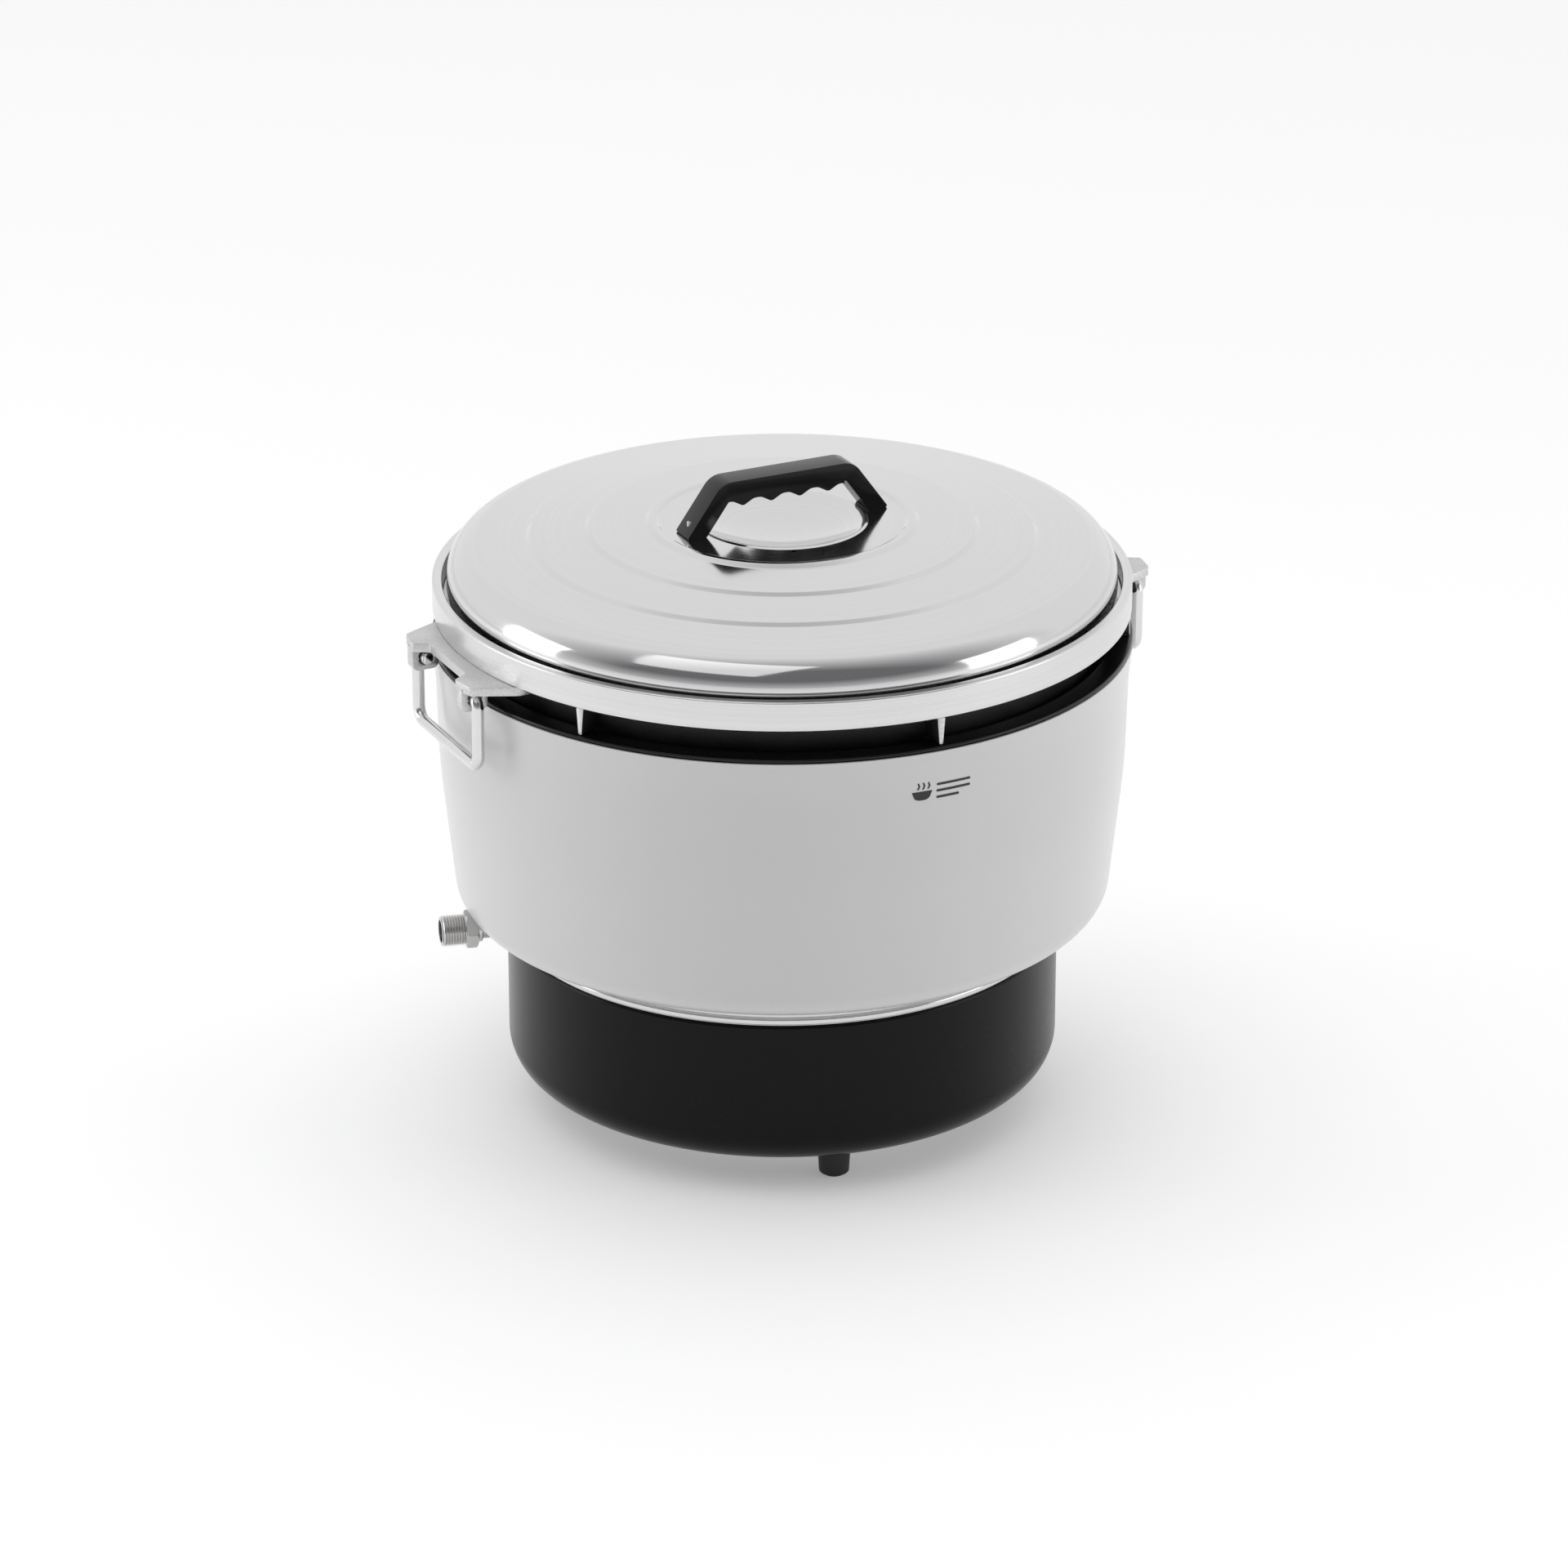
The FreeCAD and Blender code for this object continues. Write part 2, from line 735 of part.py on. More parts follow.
def control_housing():
    start = drum_radius - 40
    outer = extruded(housing_outline(0, start), [housing_corner] * 4, BACK * (panel_back - start))
    inner = extruded(housing_outline(drum_sheet, start - 1), [housing_corner - drum_sheet] * 4,
                     BACK * (panel_back - start - 6))
    lip = extruded(housing_outline(9, start - 1), [housing_corner - drum_sheet] * 4,
                   BACK * (panel_back - start + 5))
    drum = Part.makeCylinder(drum_radius + 0.02, shell_top, vector(0, 0, 0), UP)
    holes = [rod(1.6, place - BACK * 12, place + BACK) for place in panel_screw_places()]
    return outer.cut([inner, lip, drum] + holes)


def panel_screw_places():
    half = housing_half - 6.5
    low = drum_bottom + housing_low + 6.5
    high = drum_top - housing_margin - 6.5
    return [vector(x, panel_back, z) for x in (-half, half) for z in (low, high)]


def lever_sweep():
    """How far the pressed lever's arm dips at the panel."""
    return (panel_front - lever_pivot_y) * math.tan(math.radians(lever_throw))


def control_panel():
    plate = extruded(housing_outline(0, panel_back), [housing_corner] * 4, BACK * panel_sheet)
    y0 = panel_back - 5
    y1 = panel_front + 5
    knob = rod(spindle_radius + 1.2, vector(tube_offset, y0, control_z),
               vector(tube_offset, y1, control_z))
    button = rod(button_radius + slide_gap, vector(-tube_offset, y0, control_z),
                 vector(-tube_offset, y1, control_z))
    slot = block(-lever_half - 1.5, lever_half + 1.5, y0, y1,
                 lever_z - lever_height - lever_sweep() - 2, lever_z + lever_height + 2)
    screws = [rod(1.8, place - BACK, place + BACK * 9) for place in panel_screw_places()]
    return plate.cut([knob, button, slot] + screws)


def panel_screws():
    one = screw(3.2, 1.8, 1.55, 8)
    one.rotate(vector(0, 0, 0), SIDE, -90)
    return [placed(one, place + BACK * panel_sheet) for place in panel_screw_places()]


def gas_knob():
    """A round knob with a raised grip bar across its face."""
    skirt = turned((0, 0), (knob_radius, 0), (knob_radius, 5, 2), (knob_radius - 3, 6),
                   (knob_radius - 3, knob_depth - 5, 2), (0, knob_depth - 5))
    bar = block(-knob_radius + 1, knob_radius - 1, -3.5, 3.5, 3, knob_depth)
    bar = bar.common(turned((0, 0), (knob_radius - 1, 0), (knob_radius - 1.5, knob_depth, 3),
                            (0, knob_depth)))
    knob = skirt.fuse(bar).cut(rod(spindle_radius + 0.02, vector(0, 0, -1), vector(0, 0, 9)))
    knob.rotate(vector(0, 0, 0), SIDE, -90)
    knob.rotate(vector(0, 0, 0), BACK, 90)
    return placed(knob, vector(tube_offset, panel_front + knob_gap, control_z))


def valve_spindle():
    start = valve_y + 2
    end = panel_front + knob_gap + 8.5
    return rod(spindle_radius, vector(tube_offset, start, control_z), vector(tube_offset, end, control_z))


def lever_bracket():
    """Two cheeks behind the panel, joined by a web, that carry the lever's pin."""
    y0 = lever_pivot_y - 10
    z0 = lever_z - 9
    z1 = lever_z + 9
    outer = lever_half + 4
    cheeks = block(-outer, outer, y0, panel_back - 0.01, z0, z1)
    cheeks = cheeks.cut(block(-outer + 2, outer - 2, y0 + 2, panel_back + 1, z0 - 1, z1 + 1))
    pin = rod(pin_radius + 0.02, vector(-outer - 1, lever_pivot_y, lever_z),
              vector(outer + 1, lever_pivot_y, lever_z))
    return cheeks.cut(pin)


def lever_pin():
    reach = lever_half + 6
    return rod(pin_radius, vector(-reach, lever_pivot_y, lever_z), vector(reach, lever_pivot_y, lever_z))


def lever_arm():
    end = panel_front + 12
    hub = rod(7.0, vector(-lever_half, lever_pivot_y, lever_z), vector(lever_half, lever_pivot_y, lever_z))
    arm = block(-lever_half + 1, lever_half - 1, lever_pivot_y, end,
                lever_z - lever_height, lever_z + lever_height)
    bore = rod(pin_radius + running_fit, vector(-9, lever_pivot_y, lever_z),
               vector(9, lever_pivot_y, lever_z))
    return hub.fuse(arm).cut(bore)


def lever_tab():
    """The moulded finger piece pushed on the end of the arm."""
    y0 = panel_front + 3.5
    y1 = panel_front + knob_gap + knob_depth
    z0 = lever_z - 8
    z1 = lever_z + 8
    side = [vector(-tab_half, y0, z0), vector(-tab_half, y1, z0 + 3), vector(-tab_half, y1, z1 - 3),
            vector(-tab_half, y0, z1)]
    tab = extruded(side, [1.5, 3, 3, 1.5], SIDE * 2 * tab_half)
    socket = block(-lever_half + 0.99, lever_half - 0.99, y0 - 1, panel_front + 12.01,
                   lever_z - lever_height - 0.01, lever_z + lever_height + 0.01)
    return tab.cut(socket)


def ignition_button():
    x = -tube_offset
    front = panel_front + button_depth
    back = panel_back - button_travel - 9.6
    cap = turned((0, 0), (button_radius, 0), (button_radius, front - panel_back + 6, 1.5),
                 (0, front - panel_back + 6))
    cap.rotate(vector(0, 0, 0), SIDE, -90)
    cap = placed(cap, vector(x, panel_back - 6, control_z))
    return cap.fuse(rod(3.0, vector(x, back + button_travel, control_z),
                        vector(x, panel_back - 5, control_z)))


# ---- Pot and bails --------------------------------------------------------------------

def inner_pot():
    """The pot's cup, up to the foot of its rim."""
    inner = pot_radius - pot_wall
    low_outer = pot_radius - pot_taper
    low_inner = low_outer - pot_wall
    floor = pot_bottom + pot_floor
    neck = inner - (lid_seat - rim_bottom) * pot_taper / (lid_seat - floor)
    return turned((0, pot_bottom), (low_outer, pot_bottom, pot_corner), (pot_radius, rim_bottom),
                  (neck, rim_bottom), (low_inner, floor, pot_corner - pot_wall), (0, floor))


def pot_rim():
    """The turned rim, with the lid's seat inside it."""
    inner = pot_radius - pot_wall
    return turned((inner, rim_bottom), (rim_radius - 1.2, rim_bottom),
                  (rim_radius, rim_bottom + 1.2), (rim_radius, rim_top, 1),
                  (rim_inner, rim_top, 1), (rim_inner, lid_seat, 1), (inner, lid_seat, 2))


def pot_gussets():
    foot = seat_top + rest_gap
    top = rim_bottom
    half_top = gusset_top_width / 2
    half_foot = gusset_foot_width / 2
    start = -(pot_radius - pot_wall + 1.6)
    outline = [vector(-half_top, start, top), vector(-half_foot, start, foot),
               vector(half_foot, start, foot), vector(half_top, start, top)]
    depth = rim_radius - gusset_inset + start
    gusset = extruded(outline, [0, 0.8, 0.8, 0], BACK * -depth).cut(inner_pot())
    return turned_copies(gusset, gusset_count)


def lug():
    """A side lug on +X: a flat plate with two ears, each with a bored block under it."""
    tip = rim_radius + lug_reach
    half_plan = [(tip - recess_depth, recess_half, 3), (tip, ear_inner_half, 3),
                 (tip - 3.2, ear_outer_half, 4), (rim_radius - 11.5, lug_root_half, 0)]
    plan = half_plan + [(x, -y, r) for x, y, r in reversed(half_plan)]
    points = [vector(x, y, lug_bottom) for x, y, _ in plan]
    plate = extruded(points, [r for _, _, r in plan], UP * lug_thickness)
    root = block(pot_radius - 60, rim_radius - 11.5, -lug_root_half, lug_root_half,
                 lug_bottom, lug_top)
    pieces = [root]
    for side in (-1, 1):
        near = min(side * block_half_inner, side * block_outer_half)
        pieces.append(bail_block(near))
    solid = plate.fuse(pieces)
    hollow = Part.makeCylinder(pot_radius - pot_wall + 1.6, shell_top, vector(0, 0, shell_bottom), UP)
    return solid.cut([hollow, inner_pot(), pot_rim()]).removeSplitter()


def bail_block(near):
    low = lug_bottom - block_drop
    wide = 2 * (block_wall + hole_radius)
    points = [vector(block_inner, near, lug_bottom + 1), vector(block_inner, near, low),
              vector(block_inner + wide, near, low), vector(block_inner + wide, near, lug_bottom + 1)]
    solid = extruded(points, [0, 3, 3, 0], BACK * block_width)
    return solid.cut(rod(hole_radius, vector(bail_x, near - 1, bail_z),
                         vector(bail_x, near + block_width + 1, bail_z)))


def pot_lugs():
    right = lug()
    return [right, mirrored_x(right)]


def bail_right():
    inner = block_half_inner - wire_stub
    low = bail_z - bail_drop
    half = [(inner, bail_z), (bail_leg, bail_z), (bail_leg, low)]
    points = [vector(bail_x, -y, z) for y, z in half]
    points += [vector(bail_x, y, z) for y, z in reversed(half)]
    path = rounded(points, [0, 6, bail_bend, bail_bend, 6, 0])
    section = Part.Wire(Part.makeCircle(wire_radius, points[0], BACK))
    return path.makePipeShell([section], True, False)


# ---- Lid ------------------------------------------------------------------------------

def plate_height():
    """The flat plate's height, where the handle stands."""
    climb = (lid_radius - plate_radius) * lid_slope
    return lid_corner_top + climb + 2 * step_height - 1.9


def lid_shell():
    corner_z = lid_corner_top

    def slope(radius, steps):
        return corner_z + (lid_radius - radius) * lid_slope + steps * step_height

    plate = plate_height()
    angle = 2 * math.atan(dish_depth / dish_radius)
    dish_corner = dish_radius - dish_depth / math.tan(angle)
    dish_fillet = 0.97 * (dish_radius ** 2 + dish_depth ** 2) / (2 * dish_depth)
    skin = bent_sheet(lid_sheet,
                      (lid_radius - 6, lid_bottom), (lid_radius, lid_bottom, 2),
                      (lid_radius, corner_z, lid_shoulder),
                      (outer_step_radius + 1.5, slope(outer_step_radius + 1.5, 0), 2),
                      (outer_step_radius - 1.5, slope(outer_step_radius - 1.5, 1), 2),
                      (middle_step_radius + 1.5, slope(middle_step_radius + 1.5, 1), 2),
                      (middle_step_radius - 1.5, slope(middle_step_radius - 1.5, 2), 2),
                      (inner_ring_radius + 5, plate - 0.6, 1.5),
                      (inner_ring_radius + 2, plate + 1.6, 1.2),
                      (inner_ring_radius - 2, plate + 1.6, 1.2),
                      (plate_radius - 0.5, plate, 1.2),
                      (dish_radius + 4, plate, 1),
                      (dish_radius + 2, plate + 0.6, 1),
                      (dish_radius, plate, 1),
                      (dish_corner, plate - dish_depth, dish_fillet),
                      (0, plate - dish_depth))
    spot = around(steam_hole_turn, steam_hole_distance, plate - 5)
    holes = [rod(steam_hole_radius, spot, spot + UP * 10)]
    for place in handle_screw_places(plate - 5):
        holes.append(rod(handle_screw_radius + screw_fit, place, place + UP * 10))
    return skin.cut(holes)


def handle_screw_places(z):
    x = handle_length / 2 - handle_foot / 2
    return [vector(-x, 0, z), vector(x, 0, z)]


def lid_handle():
    """A bridge handle on sloping legs, with a scalloped finger rib under its bar."""
    low = plate_height() + 0.02
    half = handle_length / 2
    top = low + handle_height
    under = top - handle_bar
    inside = half - handle_foot
    lean = (half - handle_top_half) / handle_height
    inner_top = inside - lean * (under - low)
    half_width = handle_width / 2
    right = [(half, low, 1.5), (handle_top_half, top, 14)]
    left = [(-handle_top_half, top, 14), (-half, low, 1.5)]
    arch = [(-inside, low, 1), (-inner_top, under, 4), (inner_top, under, 4), (inside, low, 1)]
    outline = right + left + arch
    points = [vector(x, -half_width, z) for x, z, _ in outline]
    bar = extruded(points, [r for _, _, r in outline], BACK * handle_width)
    rims = [edge for edge in bar.Edges
            if abs(abs(edge.CenterOfMass.y) - half_width) < 0.01 and edge.CenterOfMass.z > low + 1]
    bar = bar.makeFillet(1.0, rims)
    rib_half = half_width - grip_inset
    rib = block(-(inner_top + 1), inner_top + 1, -rib_half, rib_half,
                under - grip_drop - grip_depth, under + 1)
    grip_radius = ((grip_pitch / 2) ** 2 + grip_depth ** 2) / (2 * grip_depth)
    hollows = []
    for i in range(grip_count + 1):
        x = (i - grip_count / 2) * grip_pitch
        z = under - grip_drop - grip_radius
        hollows.append(rod(grip_radius, vector(x, -rib_half - 1, z), vector(x, rib_half + 1, z)))
    holes = []
    for place in handle_screw_places(low - 1):
        holes.append(rod(handle_screw_radius + 0.05, place, place + UP * (handle_screw_depth + 2)))
    return bar.fuse(rib.cut(hollows)).cut(holes)


def lid_handle_washers():
    high = plate_height() - lid_sheet
    washer = turned((handle_screw_radius + screw_fit, high - 1), (7, high - 1), (7, high),
                    (handle_screw_radius + screw_fit, high))
    return [placed(washer, place) for place in handle_screw_places(0)]


def lid_handle_screws():
    seat = plate_height() - lid_sheet - 1
    one = screw(4.8, 3.0, handle_screw_radius, handle_screw_depth + lid_sheet)
    one.rotate(vector(0, 0, 0), SIDE, 180)
    return [placed(one, place) for place in handle_screw_places(seat)]


# ---- Writing the pieces ---------------------------------------------------------------

pieces = {
    "base_drum": base_drum(),
    "base_bottom_plate": base_bottom_plate(),
    "drip_tray": drip_tray(),
    "rubber_feet": rubber_feet(),
    "foot_screws": foot_screws(),
    "trim_ring": trim_ring(),
    "flange_bolts": flange_bolts(),
    "outer_shell": outer_shell(),
    "pot_support_ring": pot_support_ring(),
    "heat_shield": heat_shield(),
    "front_badge": front_badge(),
    "inlet_nipple": inlet_nipple(),
    "gas_inlet_pipe": gas_inlet_pipe(),
    "burner_bracket": burner_bracket(),
    "burner_body": burner_body(),
    "burner_cap": burner_cap(),
    "mixing_tube": mixing_tube(),
    "air_shutter": air_shutter(),
    "injector": injector(),
    "gas_valve_body": gas_valve_body(),
    "pilot_bracket": pilot_bracket(),
    "pilot_burner": pilot_burner(),
    "pilot_pipe": pilot_pipe(),
    "thermocouple": thermocouple(),
    "ignition_electrode": ignition_electrode(),
    "ignition_lead": ignition_lead(),
    "piezo_igniter": piezo_igniter(),
    "thermostat_sleeve": thermostat_sleeve(),
    "thermostat_plunger": thermostat_plunger(),
    "thermostat_spring": thermostat_spring(),
    "control_housing": control_housing(),
    "control_panel": control_panel(),
    "panel_screws": panel_screws(),
    "gas_knob": gas_knob(),
    "valve_spindle": valve_spindle(),
    "lever_bracket": lever_bracket(),
    "lever_pin": lever_pin(),
    "lever_arm": lever_arm(),
    "lever_tab": lever_tab(),
    "ignition_button": ignition_button(),
    "inner_pot": inner_pot(),
    "pot_rim": pot_rim(),
    "pot_gussets": pot_gussets(),
    "pot_lugs": pot_lugs(),
    "bail_right": bail_right(),
    "bail_left": mirrored_x(bail_right()),
    "lid_shell": lid_shell(),
    "lid_handle": lid_handle(),
    "lid_handle_washers": lid_handle_washers(),
    "lid_handle_screws": lid_handle_screws(),
}

for name, piece in pieces.items():
    shape = Part.makeCompound(piece) if isinstance(piece, list) else piece
    shape.exportStep("parts/" + name + ".step")
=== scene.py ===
import math

import bmesh
import bpy
from mathutils import Matrix, Vector


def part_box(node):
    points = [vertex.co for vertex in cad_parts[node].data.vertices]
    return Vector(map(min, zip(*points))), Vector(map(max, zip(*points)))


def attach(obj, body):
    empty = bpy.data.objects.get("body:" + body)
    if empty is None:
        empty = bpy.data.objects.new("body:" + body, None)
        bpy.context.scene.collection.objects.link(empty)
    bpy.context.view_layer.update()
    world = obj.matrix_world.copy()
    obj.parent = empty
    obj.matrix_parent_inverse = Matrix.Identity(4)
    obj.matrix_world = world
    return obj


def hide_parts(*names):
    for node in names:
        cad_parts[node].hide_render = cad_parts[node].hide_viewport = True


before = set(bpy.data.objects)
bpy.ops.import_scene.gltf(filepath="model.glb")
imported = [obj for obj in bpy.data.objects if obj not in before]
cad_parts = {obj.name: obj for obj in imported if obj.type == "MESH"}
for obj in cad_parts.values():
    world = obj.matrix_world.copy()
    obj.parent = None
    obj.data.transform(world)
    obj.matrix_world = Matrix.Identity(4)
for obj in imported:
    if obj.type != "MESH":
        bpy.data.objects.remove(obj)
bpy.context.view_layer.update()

# ---- Sizes, in metres, from the frame and a few details of the finish -------------------

mm = 0.001

drum_low, drum_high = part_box("base_drum")
trim_low, trim_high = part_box("trim_ring")
shell_low, shell_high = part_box("outer_shell")
seat_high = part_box("pot_support_ring")[1]
shield_low, shield_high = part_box("heat_shield")
pot_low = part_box("inner_pot")[0]
rim_low, rim_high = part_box("pot_rim")
lid_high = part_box("lid_shell")[1]
handle_low, handle_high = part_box("lid_handle")
bail_low, bail_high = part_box("bail_right")
panel_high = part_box("control_panel")[1]
knob_low, knob_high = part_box("gas_knob")
tab_low, tab_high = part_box("lever_tab")
button_low, button_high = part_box("ignition_button")
plunger_low, plunger_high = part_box("thermostat_plunger")
spring_low, spring_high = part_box("thermostat_spring")

drum_radius = drum_high.x
shell_edge = shell_high.x
shell_top = seat_high.z - 2.2 * mm
rim_radius = rim_high.y
rim_top = rim_high.z
rim_bottom = rim_low.z
pot_radius = rim_radius - 17 * mm
lid_seat = rim_top - 12.9 * mm
lid_radius = lid_high.x
plate_top = handle_low.z
lug_top = rim_bottom + 0.5 * mm
lug_bottom = lug_top - 6 * mm
bail_pivot = lug_bottom - 5.3 * mm
flange_radius = drum_radius - 10 * mm
lug_plate_half = 64.5 * mm
foot_count = 4
foot_turn = math.radians(-12.5)
gusset_count = 6
steam_hole_turn = math.radians(-18.7)
steam_hole_circle = 59 * mm
inlet_turn = math.radians(-103.6)
inlet_height = drum_high.z + 7.3 * mm

lathe_steps = 180
merge_distance = 0.001 * mm

# ---- Modelling, as by hand --------------------------------------------------------------


def object_mode():
    if bpy.context.object and bpy.context.object.mode != "OBJECT":
        bpy.ops.object.mode_set(mode="OBJECT")


def start_fresh():
    """Nothing is selected and no piece is being edited."""
    object_mode()
    bpy.ops.object.select_all(action="DESELECT")


def pick(piece):
    """The piece alone is selected and active."""
    start_fresh()
    bpy.context.view_layer.objects.active = piece
    piece.select_set(True)


def edit(piece):
    pick(piece)
    bpy.ops.object.mode_set(mode="EDIT")
    return bmesh.from_edit_mesh(piece.data)


def select_edges(mesh, test):
    """Only the edges whose middle point passes the test are selected."""
    bpy.ops.mesh.select_mode(type="EDGE")
    bpy.ops.mesh.select_all(action="DESELECT")
    for edge in mesh.edges:
        if test(edge, (edge.verts[0].co + edge.verts[1].co) / 2):
            edge.select_set(True)
    mesh.select_flush_mode()


def rounded(corners, closed, turn_step=7):
    """Points of a flat outline from (across, up, fillet) corners; arcs are cut every turn_step degrees."""
    corners = [(*corner, 0)[:3] for corner in corners]
    count = len(corners)
    points = []
    for i, (across, up, fillet) in enumerate(corners):
        here = Vector((across, up))
        if fillet <= 0 or (not closed and i in (0, count - 1)):
            points.append(here)
            continue
        into = (here - Vector(corners[i - 1][:2])).normalized()
        out = (Vector(corners[(i + 1) % count][:2]) - here).normalized()
        turn = math.atan2(into.x * out.y - into.y * out.x, into.dot(out))
        start = here - into * (fillet * math.tan(abs(turn) / 2))
        steps = max(2, math.ceil(abs(math.degrees(turn)) / turn_step))
        side = Vector((-into.y, into.x)) * math.copysign(fillet, turn)
        centre = start + side
        for k in range(steps + 1):
            angle = turn * k / steps
            spoke = -side
            points.append(centre + Matrix.Rotation(angle, 2) @ spoke)
    return points


def oblong(left, low, right, high, fillet):
    """The corners of a rounded rectangle."""
    return [(left, low, fillet), (right, low, fillet), (right, high, fillet), (left, high, fillet)]


def thick(corners, wall):
    """A bent sheet's closed outline: the corners' path, and back along its left side."""
    corners = [(*corner, 0)[:3] for corner in corners]
    back = []
    for i, (across, up, fillet) in enumerate(corners):
        here = Vector((across, up))
        ahead = Vector(corners[min(i + 1, len(corners) - 1)][:2])
        behind = Vector(corners[max(i - 1, 0)][:2])
        into = (here - behind).normalized() if i else (ahead - here).normalized()
        out = (ahead - here).normalized() if i + 1 < len(corners) else into
        mitre = Vector((-into.y - out.y, into.x + out.x))
        place = here + mitre * (2 * wall / mitre.length_squared)
        turn = into.x * out.y - into.y * out.x
        inner = max(fillet - math.copysign(wall, turn), 0) if fillet else 0
        back.append((place.x, place.y, inner))
    return corners + back[::-1]


def outline(name, points):
    """A closed ring of edges through 3-D points, extruded point by point from a plane merged to one vertex."""
    start_fresh()
    bpy.ops.mesh.primitive_plane_add(size=mm, location=(0, 0, 0))
    piece = bpy.context.object
    piece.name = name
    piece.data.name = name
    bpy.ops.object.mode_set(mode="EDIT")
    bpy.ops.mesh.select_mode(type="VERT")
    bpy.ops.mesh.select_all(action="SELECT")
    bpy.ops.mesh.merge(type="CENTER")
    bpy.ops.transform.translate(value=points[0])
    for here, following in zip(points, points[1:]):
        bpy.ops.mesh.extrude_region_move(TRANSFORM_OT_translate={"value": following - here})
    mesh = bmesh.from_edit_mesh(piece.data)
    mesh.verts.ensure_lookup_table()
    bpy.ops.mesh.select_all(action="DESELECT")
    mesh.verts[0].select_set(True)
    mesh.verts[len(mesh.verts) - 1].select_set(True)
    bpy.ops.mesh.edge_face_add()
    return piece


def cleaned(piece):
    """Doubles merged, faces turned outwards, and the piece put down."""
    edit(piece)
    bpy.ops.mesh.select_all(action="SELECT")
    bpy.ops.mesh.remove_doubles(threshold=merge_distance)
    bpy.ops.mesh.normals_make_consistent(inside=False)
    start_fresh()
    return piece


def smooth(piece, angle=32):
    """Smooth shading, with a hard edge wherever two faces meet at more than the angle in degrees."""
    pick(piece)
    bpy.ops.object.shade_smooth_by_angle(angle=math.radians(angle))
    piece.select_set(False)
    return piece


def settle(piece, place=(0, 0, 0), turn=None):
    """Turns a piece about the origin, moves it, and applies both to its mesh."""
    pick(piece)
    turning = turn.to_4x4() if turn else Matrix.Identity(4)
    piece.matrix_world = Matrix.Translation(Vector(place)) @ turning
    bpy.ops.object.transform_apply(location=True, rotation=True, scale=True)
    piece.select_set(False)
    return piece


def turned(name, corners, steps=lathe_steps, turn_step=7):
    """A piece of revolution about Z, from a closed outline of (radius, height, fillet) corners."""
    points = [Vector((p.x, 0, p.y)) for p in rounded(corners, True, turn_step)]
    piece = outline(name, points)
    bpy.ops.mesh.select_all(action="SELECT")
    bpy.ops.mesh.spin(steps=steps, angle=math.tau, center=(0, 0, 0), axis=(0, 0, 1))
    return smooth(cleaned(piece))


def slab(name, points, along):
    """A flat closed outline, filled and extruded."""
    piece = outline(name, points)
    bpy.ops.mesh.select_all(action="SELECT")
    bpy.ops.mesh.edge_face_add()
    bpy.ops.mesh.extrude_region_move(TRANSFORM_OT_translate={"value": along})
    return cleaned(piece)


def bevelled(piece, test, width, segments=3):
    mesh = edit(piece)
    select_edges(mesh, test)
    bpy.ops.mesh.bevel(offset=width, segments=segments, affect="EDGES", clamp_overlap=True)
    bpy.ops.mesh.select_all(action="SELECT")
    bpy.ops.mesh.remove_doubles(threshold=merge_distance)
    start_fresh()
    return piece


def crease(edge, least=30):
    return edge.is_manifold and edge.calc_face_angle(0) > math.radians(least)


def bent_bar(name, radius, points, bends):
    """A round bar: a circle is extruded along each run and spun round each bend."""
    start_fresh()
    first = (points[1] - points[0]).normalized()
    facing = first.to_track_quat("Z", "Y").to_euler()
    bpy.ops.mesh.primitive_circle_add(vertices=24, radius=radius, fill_type="NGON",
                                      location=points[0], rotation=facing)
    piece = bpy.context.object
    piece.name = name
    piece.data.name = name
    bpy.ops.object.transform_apply(location=True, rotation=True, scale=True)
    bpy.ops.object.mode_set(mode="EDIT")
    bpy.ops.mesh.select_all(action="SELECT")
    at = points[0].copy()
    for i in range(1, len(points)):
        here = points[i]
        along = (here - points[i - 1]).normalized()
        if i + 1 == len(points):
            bpy.ops.mesh.extrude_region_move(TRANSFORM_OT_translate={"value": here - at})
            break
        onward = (points[i + 1] - here).normalized()
        turn = along.angle(onward)
        cut = bends[i] * math.tan(turn / 2)
        stop = here - along * cut
        bpy.ops.mesh.extrude_region_move(TRANSFORM_OT_translate={"value": stop - at})
        axis = along.cross(onward).normalized()
        centre = stop + axis.cross(along) * bends[i]
        bpy.ops.mesh.spin(steps=max(3, math.ceil(math.degrees(turn) / 8)), angle=-turn,
                          center=centre, axis=axis, use_auto_merge=False)
        at = here + onward * cut
    cleaned(piece)
    bevelled(piece, lambda edge, middle: crease(edge, 60), 0.4 * mm, 2)
    return smooth(piece, 40)


def joined(name, pieces):
    start_fresh()
    for piece in pieces:
        piece.select_set(True)
    bpy.context.view_layer.objects.active = pieces[0]
    bpy.ops.object.join()
    piece = bpy.context.object
    piece.name = name
    piece.data.name = name
    piece.select_set(False)
    return piece


def copies_round(piece, count, first=0.0):
    """The piece and its turned copies about Z, each with its own mesh."""
    made = []
    for i in range(count):
        copy = piece.copy()
        copy.data = piece.data.copy()
        bpy.context.scene.collection.objects.link(copy)
        made.append(settle(copy, turn=Matrix.Rotation(first + i * math.tau / count, 3, "Z")))
    bpy.data.objects.remove(piece)
    return made


def apply_modifier(piece, kind, **settings):
    pick(piece)
    modifier = piece.modifiers.new(kind, kind)
    for key, value in settings.items():
        setattr(modifier, key, value)
    bpy.ops.object.modifier_apply(modifier=modifier.name)
    piece.select_set(False)
    return piece


def combined(piece, other, operation):
    """The piece after a boolean with another, which is used up."""
    apply_modifier(piece, "BOOLEAN", object=other, operation=operation, solver="EXACT")
    bpy.data.objects.remove(other)
    return piece


